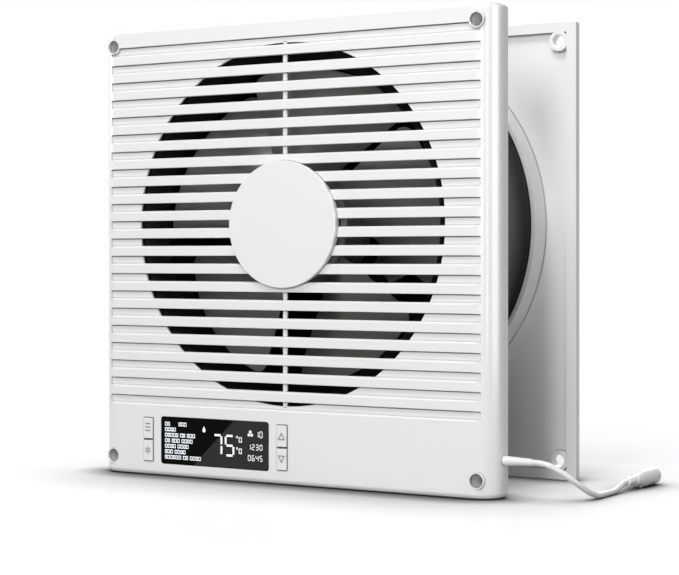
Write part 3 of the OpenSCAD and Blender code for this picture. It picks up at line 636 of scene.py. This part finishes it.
def make_duct():
    """Duct tube with its flared inlet, throat, shoulder, struts, motor seat and pegs."""
    bm = bmesh.new()
    throat_out = THROAT_R + THROAT_T
    bell = [(DUCT_IN_R, BELL_AT)]
    bell += [(DUCT_IN_R - 11 * t ** 0.8, BELL_AT + BELL_L * t) for t in (0.15, 0.3, 0.45, 0.6, 0.75, 0.9)]
    flare = [(throat_out, 18.2)]
    flare += [(throat_out + 9 * t, 18.2 - 9.6 * t ** 1.2) for t in (0.25, 0.5, 0.75)]
    flare += [(DUCT_IN_R, 8.6)]
    outside = [(DUCT_R, DUCT_AT), (DUCT_R, 7.5), (SHOULDER_R, 7.5), (SHOULDER_R, 9), (DUCT_R, 9),
               (DUCT_R, DUCT_END)]
    throat = [(throat_out, SEAT_AT), (THROAT_R, SEAT_AT), (THROAT_R, BELL_AT + BELL_L)]
    outline = outside + [(DUCT_IN_R, DUCT_END)] + flare[::-1] + throat + bell[::-1] + [(DUCT_IN_R, DUCT_AT)]
    turned(bm, outline, steps=200, rim=0.3, segments=2)
    turned(bm, [(9.05, STRUT_AT), (SEAT_R, STRUT_AT - 4), (SEAT_R, STRUT_END), (9.05, STRUT_END)], rim=0.4)
    turned(bm, tube(SEAT_R - 2.5, SEAT_R, 50, SEAT_AT + SINK), rim=0.4)
    for angle in (45, 135, 225, 315):
        strut = bmesh.new()
        block(strut, 15, DUCT_IN_R + 1, STRUT_AT, STRUT_END, -STRUT_W / 2, STRUT_W / 2, radius=0.8)
        add_turned(bm, strut, -math.radians(angle), z=FAN)
    for angle in (30, 150, 270):
        turn = math.radians(angle)
        place = (22 * math.cos(turn), FAN + 22 * math.sin(turn))
        turned_at(bm, [place], plug(2, 49.1, SEAT_AT + SINK), 20)
    return mesh_object("duct_tube", bm)


def blade_place(u, v, side):
    """Point on a blade: u across its width, v from the hub to the tip."""
    r = HUB_R - 1 + (BLADE_R - HUB_R + 1) * v
    span = 46 + 18 * math.sin(math.radians(90 * v ** 0.74))
    past = max(0.0, r - (BLADE_R - BLADE_CORNER))
    trim = math.degrees((BLADE_CORNER - math.sqrt(max(0.0, BLADE_CORNER ** 2 - past ** 2))) / r)
    angle = math.radians(110.5 + 2 * (1 - v) - trim - (span - 2 * trim) * u)
    part = (trim + (span - 2 * trim) * u) / span
    thick = BLADE_T * (0.4 + 0.6 * math.sin(math.pi * part))
    deep = BLADE_AT + BLADE_D * part - 1.5 * math.sin(math.pi * part) + side * thick / 2
    return Vector((r * math.cos(angle), deep, r * math.sin(angle)))


def make_impeller():
    """Hub shell with five swept blades."""
    bm = bmesh.new()
    for turn in range(BLADES):
        part = bmesh.new()
        bmesh.ops.create_grid(part, x_segments=22, y_segments=26, size=0.5)
        flat = {vert: (vert.co.x + 0.5, vert.co.y + 0.5) for vert in part.verts}
        drawn = bmesh.ops.extrude_face_region(part, geom=list(part.faces))["geom"]
        for vert in (v for v in drawn if isinstance(v, bmesh.types.BMVert)):
            u, v = vert.co.x + 0.5, vert.co.y + 0.5
            vert.co = blade_place(u, 1 - (1 - v) ** 1.6, 1)
        for vert, (u, v) in flat.items():
            vert.co = blade_place(u, 1 - (1 - v) ** 1.6, -1)
        add_turned(bm, part, -math.radians(360 / BLADES * turn), z=FAN)
    inside = HUB_R - HUB_T
    turned(bm, [(HUB_BORE_R, HUB_AT), (HUB_R - 3, HUB_AT), (HUB_R, HUB_AT + 3), (HUB_R, HUB_END),
                (inside, HUB_END), (inside, HUB_AT + HUB_T), (HUB_BORE_R, HUB_AT + HUB_T)],
           steps=120, rim=0.5)
    return mesh_object("fan_rotor", bm)


def make_rear_shade_sheet():
    """Dark sheet lying on the inner side of the rear slots: painted shade, black where the inside of the fan
    lies in shade.
    """
    bm = bmesh.new()
    turned(bm, tube(CAP_R - 1.3, DUCT_R + 0.5, PANEL_AT - 0.3, PANEL_AT + 0.05), steps=120)
    return mesh_object("rear_shade_sheet", bm)


# Display and buttons

def make_lens():
    """Flat lens of the display with rounded corners."""
    bm = bmesh.new()
    left, right, foot, top = LENS
    verts = block(bm, left, right, LENS_AT, LENS_AT + LENS_T, foot, top)
    soften(bm, running_back(verts, 0.1), 1.75, 8)
    soften(bm, at_front(bm.edges, LENS_AT), 0.3, 3)
    return mesh_object("display_lens", bm)


def stroke(bm, x0, z0, x1, z1, width, at, thick=MARK_T):
    """Adds a straight mark between two points of the front."""
    part = bmesh.new()
    length = math.hypot(x1 - x0, z1 - z0) + width
    block(part, -length / 2, length / 2, at - thick, at, -width / 2, width / 2)
    add_turned(bm, part, -math.atan2(z1 - z0, x1 - x0), (x0 + x1) / 2, (z0 + z1) / 2)


def outlined_block(bm, x, z, width, reach, line):
    """Adds a small outlined block to the display, from its left side and the height of its middle."""
    low, high, right = z - reach, z + reach, x + width
    for side in (x, right):
        stroke(bm, side, low, side, high, line, LENS_AT)
    for level in (high, low):
        stroke(bm, x, level, right, level, line, LENS_AT)


# The ends of each segment of a figure, in shares of its width and height
SEGMENTS = {
    "a": (0, 1, 1, 1), "b": (1, 0.5, 1, 1), "c": (1, 0, 1, 0.5), "d": (0, 0, 1, 0), "e": (0, 0, 0, 0.5),
    "f": (0, 0.5, 0, 1), "g": (0, 0.5, 1, 0.5),
}
DIGITS = {0: "abcdef", 1: "bc", 2: "abged", 3: "abgcd", 4: "fgbc", 5: "afgcd", 6: "afgedc", 7: "abc"}


def digit(bm, value, x, z, width, height, line):
    """Adds a digit of seven segments to the display."""
    for name in DIGITS[value]:
        u0, v0, u1, v1 = SEGMENTS[name]
        trim = line * 0.95
        x0, x1, z0, z1 = x + u0 * width, x + u1 * width, z + v0 * height, z + v1 * height
        if u0 == u1:
            stroke(bm, x0, z0 + trim, x1, z1 - trim, line, LENS_AT)
        else:
            stroke(bm, x0 + trim, z0, x1 - trim, z1, line, LENS_AT)


def figures(bm, values, x, z, pitch, width, height, line):
    """Adds digits side by side."""
    for i, value in enumerate(values):
        digit(bm, value, x + pitch * i, z, width, height, line)


def block_rows(bm):
    """Adds rows of small outlined blocks to the left part of the display."""
    for row, words in enumerate(((2, 3), (4,), (5, 2, 3), (2, 3, 4), (4, 4), (3, 4), (6, 2, 4))):
        x = LENS[0] + 3.3
        for count in words:
            for i in range(count):
                width = 1.5 if (i + count) % 3 else 1.1
                outlined_block(bm, x, 33.4 - 3.5 * row, width, 1.0, 0.42)
                x += width + 0.8
            x += 1.2 if row else 6.5


def drop_sign(bm, x, z):
    """Adds a drop to the display."""
    drop = bmesh.new()
    side = [(0.0, 2.1), (0.55, 1.0), (1.1, 0.0), (1.15, -0.7), (0.85, -1.35), (0.3, -1.7), (0.0, -1.75)]
    outline = side + [(-across, up) for across, up in side[-2:0:-1]]
    face = drop.faces.new([drop.verts.new((x + across, LENS_AT, z + up)) for across, up in outline])
    draw_out(drop, face, (0, -MARK_T, 0))
    add(bm, drop)


def make_display_marks():
    """Rows of blocks, figures and small signs of the display."""
    bm = bmesh.new()
    front = LENS_AT - MARK_T
    block_rows(bm)
    figures(bm, (7, 5), -52.3, 15.9, 9.1, 5.9, 12.2, 1.35)
    for z in (26.0, 19.0):
        turned(bm, tube(0.4, 0.75, front, LENS_AT), x=-34.6, z=z + 1.6, steps=28)
        outlined_block(bm, -33, z, 1.8, 1.4, 0.45)
    for turn in range(3):
        angle = math.radians(90 + 120 * turn)
        place = (-24.6 + 1.25 * math.cos(angle), 30.0 + 1.25 * math.sin(angle))
        turned_at(bm, [place], plug(0.95, front, LENS_AT), 20)
    figures(bm, (1, 0), -20.6, 28.1, 3.0, 1.9, 3.7, 0.5)
    figures(bm, (1, 2, 3, 0), -26.2, 20.4, 2.9, 1.75, 3.2, 0.45)
    figures(bm, (0, 6, 4, 5), -26.2, 13.6, 2.9, 1.75, 3.2, 0.45)
    drop_sign(bm, -59.8, 31.0)
    return mesh_object("display_marks", bm, weighted=False)


def make_button(name, x, z):
    """Button with the lip that holds it in the shell and the stem behind it."""
    bm = bmesh.new()
    left, right = x - BUTTON_W / 2, x + BUTTON_W / 2
    low, high = z - BUTTON_H / 2, z + BUTTON_H / 2
    ends = (low + BUTTON_GAP, high) if name in ("menu", "up") else (low, high - BUTTON_GAP)
    verts = block(bm, left, right, -BUTTON_OUT, 3.75, *ends)
    soften(bm, running_back(verts), 0.4, 3)
    soften(bm, at_front(bm.edges, -BUTTON_OUT), 0.38, 4)
    block(bm, left - 1, right + 1, 3.35, 4.35, low, high, radius=0.15, segments=2)
    turned(bm, plug(1.7, 3.95, 4.6), x=x, z=z, steps=24)
    return mesh_object("key_" + name, bm)


def make_button_sign(name, x, z):
    """Raised sign on a button."""
    bm = bmesh.new()
    at = -BUTTON_OUT + 0.02
    if name == "menu":
        for row in (-1, 0, 1):
            level = z + 0.9 + row * 2.2
            stroke(bm, x - 1.7, level, x + 1.7, level, 0.6, at, SIGN_T)
    elif name == "fan":
        turned(bm, plug(0.45, at - SIGN_T, at), x=x, z=z, steps=16)
        for turn in range(6):
            angle = math.radians(60 * turn + 30)
            across, up = math.cos(angle), math.sin(angle)
            stroke(bm, x + 1.1 * across, z + 1.1 * up, x + 2.1 * across, z + 2.1 * up, 0.55, at, SIGN_T)
    else:
        tip = 1.9 if name == "up" else -1.9
        points = [(x - 2.15, z - tip), (x, z + tip), (x + 2.15, z - tip)]
        for (x0, z0), (x1, z1) in zip(points, points[1:] + points[:1]):
            stroke(bm, x0, z0, x1, z1, 0.5, at, SIGN_T)
    return mesh_object("sign_" + name, bm, weighted=False)


louvres = fitted(make_louvred_front(), "front_unit", "white_shell", "front_shell")
rear_louvres = fitted(make_rear_plate(), "rear_unit", "white_shell", "rear_plate")
back = fitted(make_back_cover(), "front_unit", "white_shell", "rear_cover")
cap = fitted(make_hub_cap(), "front_unit", "white_shell", "hub_cap")
duct = fitted(make_duct(), "front_unit", "black_plastic", "fan_frame")
rotor = fitted(make_impeller(), "impeller_body", "black_plastic", "impeller")
shade_sheet = fitted(make_rear_shade_sheet(), "rear_unit", "black_plastic")
lens = fitted(make_lens(), "front_unit", "window_black", "display_window")
marks = fitted(make_display_marks(), "front_unit", "window_black")
keys, signs = [], []
for name, (x, z) in BUTTONS.items():
    keys.append(fitted(make_button(name, x, z), "button_" + name + "_body", "white_shell", "button_" + name))
    signs.append(fitted(make_button_sign(name, x, z), "button_" + name + "_body", "white_shell"))


# Shared effects

def group_of(name, inputs, outputs):
    """Node group with its sockets, and the nodes at its two ends."""
    group = bpy.data.node_groups.new(name, "ShaderNodeTree")
    for label, kind, value in inputs:
        socket = group.interface.new_socket(name=label, in_out="INPUT", socket_type=kind)
        socket.default_value = value
    for label, kind in outputs:
        group.interface.new_socket(name=label, in_out="OUTPUT", socket_type=kind)
    return group, group.nodes.new("NodeGroupInput"), group.nodes.new("NodeGroupOutput")


def make_moulded_skin():
    """Moulded skin: slow changes of tone, a fine grain and its height."""
    group, inside, out = group_of(
        "moulded_skin",
        [("Vector", "NodeSocketVector", (0, 0, 0)), ("Grain size", "NodeSocketFloat", 900.0),
         ("Tone size", "NodeSocketFloat", 9.0)],
        [("Tone", "NodeSocketFloat"), ("Grain", "NodeSocketFloat"), ("Height", "NodeSocketFloat")])
    link = group.links.new
    waves = []
    for detail in (3.0, 2.0, 2.0):
        wave = group.nodes.new("ShaderNodeTexNoise")
        wave.inputs["Detail"].default_value = detail
        link(inside.outputs["Vector"], wave.inputs["Vector"])
        waves.append(wave)
    tone, grain, flow = waves
    flow.inputs["Scale"].default_value = 42.0
    height = group.nodes.new("ShaderNodeMath")
    height.operation = "MULTIPLY_ADD"
    height.inputs[1].default_value = 2.2
    link(inside.outputs["Tone size"], tone.inputs["Scale"])
    link(inside.outputs["Grain size"], grain.inputs["Scale"])
    link(flow.outputs["Fac"], height.inputs[0])
    link(grain.outputs["Fac"], height.inputs[2])
    link(tone.outputs["Fac"], out.inputs["Tone"])
    link(grain.outputs["Fac"], out.inputs["Grain"])
    link(height.outputs[0], out.inputs["Height"])
    return group


MOULDED_SKIN = make_moulded_skin()


def new_material(name):
    """Empty finish, with its nodes and its shader."""
    material = bpy.data.materials.new(name)
    material.use_nodes = True
    tree = material.node_tree
    return material, tree, tree.nodes["Principled BSDF"]


def feed(tree, value, socket):
    """Links an output to a socket, or sets the socket to a number."""
    if isinstance(value, bpy.types.NodeSocket):
        tree.links.new(value, socket)
    else:
        socket.default_value = value


def worked_out(tree, operation, first, second):
    """Works out one number from two, each an output or a fixed number."""
    node = tree.nodes.new("ShaderNodeMath")
    node.operation = operation
    feed(tree, first, node.inputs[0])
    feed(tree, second, node.inputs[1])
    return node.outputs[0]


def vector_step(tree, operation, source, value=(0, 0, 0)):
    """Works on a vector with a fixed one, and gives the vector and the number that come out."""
    node = tree.nodes.new("ShaderNodeVectorMath")
    node.operation = operation
    node.inputs[1].default_value = value
    tree.links.new(source, node.inputs[0])
    return node.outputs


def object_place(tree):
    """Place on the piece, in its own coordinates."""
    return tree.nodes.new("ShaderNodeTexCoord").outputs["Object"]


def openness(tree, reach, power, samples):
    """How open a spot is: 1 in the open, less in a crevice or beside another piece."""
    near = tree.nodes.new("ShaderNodeAmbientOcclusion")
    near.inputs["Distance"].default_value = reach
    near.samples = samples
    return worked_out(tree, "POWER", near.outputs["AO"], power)


def spread(tree, source, low, high, start=0.0, end=1.0):
    """Maps a mask, from start to end, to values between low and high."""
    node = tree.nodes.new("ShaderNodeMapRange")
    node.inputs["From Min"].default_value = start
    node.inputs["From Max"].default_value = end
    node.inputs["To Min"].default_value = low
    node.inputs["To Max"].default_value = high
    tree.links.new(source, node.inputs["Value"])
    return node.outputs["Result"]


def blended(tree, mask, first, second):
    """Mixes two colours by a mask."""
    node = tree.nodes.new("ShaderNodeMix")
    node.data_type = "RGBA"
    node.inputs["A"].default_value = (*first, 1.0)
    node.inputs["B"].default_value = (*second, 1.0)
    tree.links.new(mask, node.inputs["Factor"])
    return node.outputs["Result"]


def recoloured(material, mask, colour, where_masked=True):
    """Lays a colour over a finish where a mask is 1, or else where it is 0."""
    tree = material.node_tree
    base = tree.nodes["Principled BSDF"].inputs["Base Color"]
    kept, laid = ("A", "B") if where_masked else ("B", "A")
    node = tree.nodes.new("ShaderNodeMix")
    node.data_type = "RGBA"
    node.inputs[laid].default_value = (*colour, 1.0)
    tree.links.new(base.links[0].from_socket, node.inputs[kept])
    tree.links.new(mask, node.inputs["Factor"])
    tree.links.new(node.outputs["Result"], base)


def skin_on(tree, grain, tone):
    """Moulded skin on the piece's own coordinates."""
    skin = tree.nodes.new("ShaderNodeGroup")
    skin.node_tree = MOULDED_SKIN
    skin.inputs["Grain size"].default_value = grain
    skin.inputs["Tone size"].default_value = tone
    tree.links.new(object_place(tree), skin.inputs["Vector"])
    return skin.outputs


def moulded(name, colour, second, rough, grain=900.0, bump=0.04, tone=9.0, specular=0.5, coat=0.0,
            vary=0.06, shine=0.05):
    """Moulded plastic or rubber with a fine skin."""
    material, tree, shader = new_material(name)
    skin = skin_on(tree, grain, tone)
    tree.links.new(blended(tree, skin["Tone"], colour, second), shader.inputs["Base Color"])
    tree.links.new(spread(tree, skin["Grain"], rough - vary, rough + vary), shader.inputs["Roughness"])
    height = tree.nodes.new("ShaderNodeBump")
    height.inputs["Strength"].default_value = bump
    height.inputs["Distance"].default_value = 0.0002
    tree.links.new(skin["Height"], height.inputs["Height"])
    tree.links.new(height.outputs["Normal"], shader.inputs["Normal"])
    shader.inputs["Specular IOR Level"].default_value = specular
    shader.inputs["Coat Weight"].default_value = coat
    shader.inputs["Coat Roughness"].default_value = shine
    return material


def duct_black():
    """Black plastic, dark grey outside the tube, with painted shade making it dead black inside."""
    material = moulded("duct_black", (0.08, 0.079, 0.076), (0.09, 0.088, 0.085), 0.45, bump=0.03,
                       specular=0.08, shine=0.3)
    tree = material.node_tree
    place = vector_step(tree, "SUBTRACT", object_place(tree), (0, 0, FAN / 1000))["Vector"]
    across = vector_step(tree, "MULTIPLY", place, (1, 0, 1))["Vector"]
    from_axis = vector_step(tree, "LENGTH", across)["Value"]
    inside = worked_out(tree, "LESS_THAN", from_axis, (DUCT_R - 1.1) / 1000)
    # Painted shade: dead black inside the tube, where the coat is also taken off.
    recoloured(material, inside, (0.006, 0.006, 0.006))
    tree.links.new(spread(tree, inside, 0.4, 0.0), tree.nodes["Principled BSDF"].inputs["Coat Weight"])
    return material


def shell_white():
    """White moulded plastic, with painted shade greying its narrow gaps and corners."""
    material = moulded("white_shell", (0.8, 0.8, 0.798), (0.785, 0.785, 0.782), 0.3, bump=0.004, coat=0.6,
                       vary=0.02, shine=0.14)
    # Painted shade: an ambient occlusion mask turns the colour grey in narrow gaps and corners.
    recoloured(material, openness(material.node_tree, 0.0011, 2.2, 6), (0.2, 0.2, 0.198), where_masked=False)
    return material


def lens_black():
    """Black lens with a painted reflection: paler over its right part, up to a slanting edge."""
    material = moulded("window_black", (0.001, 0.001, 0.001), (0.002, 0.002, 0.002), 0.1, bump=0.0,
                       specular=0.04, vary=0.02)
    tree = material.node_tree
    side = vector_step(tree, "DOT_PRODUCT", object_place(tree), (1.0, 0, -1.047))["Value"]
    # Painted reflection: a paler colour over the right part of the lens, up to a slanting edge.
    recoloured(material, spread(tree, side, 0.0, 1.0, -0.0767, -0.0761), (0.032, 0.032, 0.032))
    return material


def lit_marks():
    """Pale marks that give a little light."""
    material = moulded("lit_marks", (0.8, 0.82, 0.84), (0.74, 0.76, 0.78), 0.5, bump=0.0)
    shader = material.node_tree.nodes["Principled BSDF"]
    shader.inputs["Emission Color"].default_value = (0.9, 0.95, 1.0, 1.0)
    shader.inputs["Emission Strength"].default_value = 0.4
    return material


def metal(name, colour, second, rough, grain=600.0):
    """Metal with a fine grain."""
    material, tree, shader = new_material(name)
    skin = skin_on(tree, grain, 40.0)
    tree.links.new(blended(tree, skin["Tone"], colour, second), shader.inputs["Base Color"])
    tree.links.new(spread(tree, skin["Grain"], rough - 0.08, rough + 0.08), shader.inputs["Roughness"])
    shader.inputs["Metallic"].default_value = 1.0
    return material


WHITE_SHELL = shell_white()
BLACK_PLASTIC = moulded("black_plastic", (0.018, 0.018, 0.019), (0.024, 0.024, 0.025), 0.24, bump=0.03)
BLADE_BLACK = moulded("blade_black", (0.13, 0.126, 0.12), (0.15, 0.145, 0.138), 0.3, bump=0.01, specular=0.8,
                      vary=0.03)
DUCT_BLACK = duct_black()
WINDOW_BLACK = lens_black()
LIT_MARKS = lit_marks()
SIGN_GREY = moulded("sign_grey", (0.3, 0.3, 0.3), (0.25, 0.25, 0.25), 0.5)
LEAD_VINYL = moulded("lead_vinyl", (0.8, 0.8, 0.79), (0.77, 0.77, 0.76), 0.3, grain=1500.0, bump=0.05)
# Painted shade: finish of the dark sheet behind the rear slots.
SHADE_SHEET_BLACK = moulded("shade_sheet_black", (0.006, 0.006, 0.006), (0.01, 0.01, 0.01), 0.8, grain=3000.0, bump=0.3,
                       specular=0.05)
FOAM = moulded("seal_foam", (0.02, 0.02, 0.02), (0.035, 0.035, 0.035), 0.9, grain=1400.0, bump=0.6)
CABLE = moulded("cable_sleeve", (0.02, 0.02, 0.02), (0.03, 0.03, 0.03), 0.5, grain=1400.0, bump=0.1)
BOARD = moulded("board_green", (0.02, 0.13, 0.06), (0.03, 0.17, 0.08), 0.35, grain=700.0)
DARK_PARTS = moulded("board_components", (0.03, 0.03, 0.032), (0.05, 0.05, 0.052), 0.45)
SENSOR = moulded("sensor_epoxy", (0.015, 0.015, 0.017), (0.03, 0.03, 0.03), 0.3)
BACKLIGHT = moulded("backlight_diffuser", (0.8, 0.82, 0.84), (0.76, 0.78, 0.8), 0.6)
GLASS_GREY = moulded("display_glass", (0.1, 0.11, 0.12), (0.12, 0.13, 0.14), 0.1)
SCREW_STEEL = metal("screw_steel", (0.6, 0.61, 0.63), (0.5, 0.51, 0.53), 0.32)
BEARING_STEEL = metal("bearing_steel", (0.66, 0.67, 0.69), (0.56, 0.57, 0.59), 0.16)
BEARING_BRASS = metal("bearing_brass", (0.72, 0.55, 0.26), (0.6, 0.44, 0.2), 0.3)
CORE_STEEL = metal("core_steel", (0.2, 0.205, 0.21), (0.14, 0.145, 0.15), 0.45)
COPPER = metal("coil_copper", (0.7, 0.33, 0.16), (0.55, 0.24, 0.1), 0.35, grain=1200.0)
MAGNET = metal("magnet_grey", (0.12, 0.12, 0.13), (0.08, 0.08, 0.085), 0.55)
NICKEL = metal("contact_nickel", (0.72, 0.7, 0.64), (0.6, 0.58, 0.52), 0.2)

FINISH = [
    (WHITE_SHELL, "front_shell hub_cap rear_cover rear_plate button_menu button_fan button_up button_down"),
    (WINDOW_BLACK, "display_window"),
    (GLASS_GREY, "lcd_glass"),
    (BACKLIGHT, "lcd_backlight"),
    (BOARD, "control_board motor_board"),
    (DARK_PARTS, "board_parts switch_bodies plunger_menu plunger_fan plunger_up plunger_down"),
    (SENSOR, "thermistor"),
    (SCREW_STEEL, "cover_screws board_screws frame_screws shaft_clip motor_shaft"),
    (DUCT_BLACK, "fan_frame"),
    (BLACK_PLASTIC, "clamp_ring"),
    (BLADE_BLACK, "impeller"),
    (FOAM, "duct_seal"),
    (BEARING_BRASS, "bearing_tube"),
    (BEARING_STEEL, "front_bearing rear_bearing"),
    (CORE_STEEL, "stator_core rotor_yoke"),
    (COPPER, "stator_coils"),
    (MAGNET, "rotor_magnet"),
    (CABLE, "motor_cable"),
    (LEAD_VINYL, "lead_relief lead_tail power_lead jack_relief jack_body"),
    (NICKEL, "jack_contact"),
]


def finish_with(piece, material):
    """Gives the whole piece one finish."""
    if piece.data.materials:
        for slot in piece.material_slots:
            slot.material = material
    else:
        piece.data.materials.append(material)


for material, names in FINISH:
    for name in names.split():
        finish_with(nodes[name], material)
DRESSED = [
    (LEAD_VINYL, [lead, sleeve, jack_relief, jack_body]),
    (WHITE_SHELL, [louvres, rear_louvres, cap, back] + keys),
    (DUCT_BLACK, [duct]), (BLADE_BLACK, [rotor]), (WINDOW_BLACK, [lens]), (LIT_MARKS, [marks]),
    (SHADE_SHEET_BLACK, [shade_sheet]), (SIGN_GREY, signs),
]
for material, pieces in DRESSED:
    for piece in pieces:
        finish_with(piece, material)


# Stage

MIDDLE = (0, 0, 0.15)
RIGHT_EDGE = (0.14, -0.05, 0.16)


def mixed(tree, share, first, second):
    """Mixes two shaders by a mask or a fixed share."""
    node = tree.nodes.new("ShaderNodeMixShader")
    feed(tree, share, node.inputs[0])
    tree.links.new(first.outputs[0], node.inputs[1])
    tree.links.new(second.outputs[0], node.inputs[2])
    return node


def make_floor():
    """Pale floor with the lamps' shadow and a painted contact shadow near the object, plain white further
    away.
    """
    bm = bmesh.new()
    bmesh.ops.create_grid(bm, x_segments=1, y_segments=1, size=6.0)
    floor = mesh_object("floor", bm, place=Matrix.Identity(4), weighted=False)
    material, tree, bounce = new_material("studio_floor")
    bounce.inputs["Base Color"].default_value = (0.34, 0.34, 0.34, 1.0)
    bounce.inputs["Roughness"].default_value = 0.9
    bounce.inputs["Specular IOR Level"].default_value = 0.0
    new = tree.nodes.new
    link = tree.links.new
    # Painted contact shadow: two ambient occlusion masks darken the floor near the object.
    shade = worked_out(tree, "MULTIPLY", openness(tree, 0.095, 1.25, 12), openness(tree, 0.025, 2.2, 12))
    paper = new("ShaderNodeBsdfDiffuse")
    link(blended(tree, shade, (0.0, 0.0, 0.0), (0.27, 0.27, 0.27)), paper.inputs["Color"])
    glow = new("ShaderNodeEmission")
    link(spread(tree, shade, 0.0, 0.75), glow.inputs["Strength"])
    lit = new("ShaderNodeAddShader")
    link(paper.outputs[0], lit.inputs[0])
    link(glow.outputs[0], lit.inputs[1])
    polish = new("ShaderNodeBsdfGlossy")
    polish.inputs["Roughness"].default_value = 0.06
    white = new("ShaderNodeEmission")
    far = new("ShaderNodeMapRange")
    far.interpolation_type = "SMOOTHSTEP"
    far.inputs["From Min"].default_value = 0.2
    far.inputs["From Max"].default_value = 0.5
    link(vector_step(tree, "LENGTH", object_place(tree))["Value"], far.inputs["Value"])
    fade = mixed(tree, far.outputs["Result"], mixed(tree, 0.05, lit, polish), white)
    rays = new("ShaderNodeLightPath").outputs
    seen = worked_out(tree, "MAXIMUM", rays["Is Camera Ray"], rays["Is Glossy Ray"])
    link(mixed(tree, seen, bounce, fade).outputs[0], tree.nodes["Material Output"].inputs["Surface"])
    finish_with(floor, material)


def make_world():
    """Even fill, seen as plain white by the camera, in reflections and through clear pieces."""
    world = bpy.data.worlds.new("studio")
    scene.world = world
    world.use_nodes = True
    tree = world.node_tree
    fill = tree.nodes["Background"]
    white = tree.nodes.new("ShaderNodeBackground")
    for shader, strength in ((fill, 0.05), (white, 1.0)):
        shader.inputs["Color"].default_value = (1.0, 1.0, 1.0, 1.0)
        shader.inputs["Strength"].default_value = strength
    rays = tree.nodes.new("ShaderNodeLightPath").outputs
    seen = worked_out(tree, "MAXIMUM", rays["Is Camera Ray"], rays["Is Glossy Ray"])
    seen = worked_out(tree, "MAXIMUM", seen, rays["Is Transmission Ray"])
    tree.links.new(mixed(tree, seen, fill, white).outputs[0], tree.nodes["World Output"].inputs["Surface"])


def make_light(name, place, aim, width, height, power):
    """Flat lamp that shines from a place towards an aim."""
    data = bpy.data.lights.new(name, "AREA")
    data.shape = "RECTANGLE"
    data.size = width
    data.size_y = height
    data.energy = power
    light = bpy.data.objects.new(name, data)
    light.location = place
    light.rotation_euler = (Vector(aim) - Vector(place)).to_track_quat("-Z", "Y").to_euler()
    scene.collection.objects.link(light)
    return light


make_floor()
make_world()
make_light("high_lamp", (0.07, -0.797, 1.536), MIDDLE, 0.5, 0.5, 15.5)
make_light("right_lamp", (0.395, -1.583, 0.911), MIDDLE, 0.3, 0.5, 13)
make_light("low_lamp", (0.715, -1.532, 0.328), MIDDLE, 0.3, 0.4, 2.5)
make_light("edge_strip", (1.15, -0.9, 0.3), RIGHT_EDGE, 0.07, 1.3, 4)
make_light("left_lamp", (-1.7, -0.15, 0.7), MIDDLE, 0.9, 0.8, 9)
make_light("back_lamp", (-0.55, 1.75, 1.0), MIDDLE, 1.2, 0.9, 22)
card = make_light("edge_card", (1.25, -0.03, 0.16), RIGHT_EDGE, 0.7, 1.3, 14)
card.visible_diffuse = False
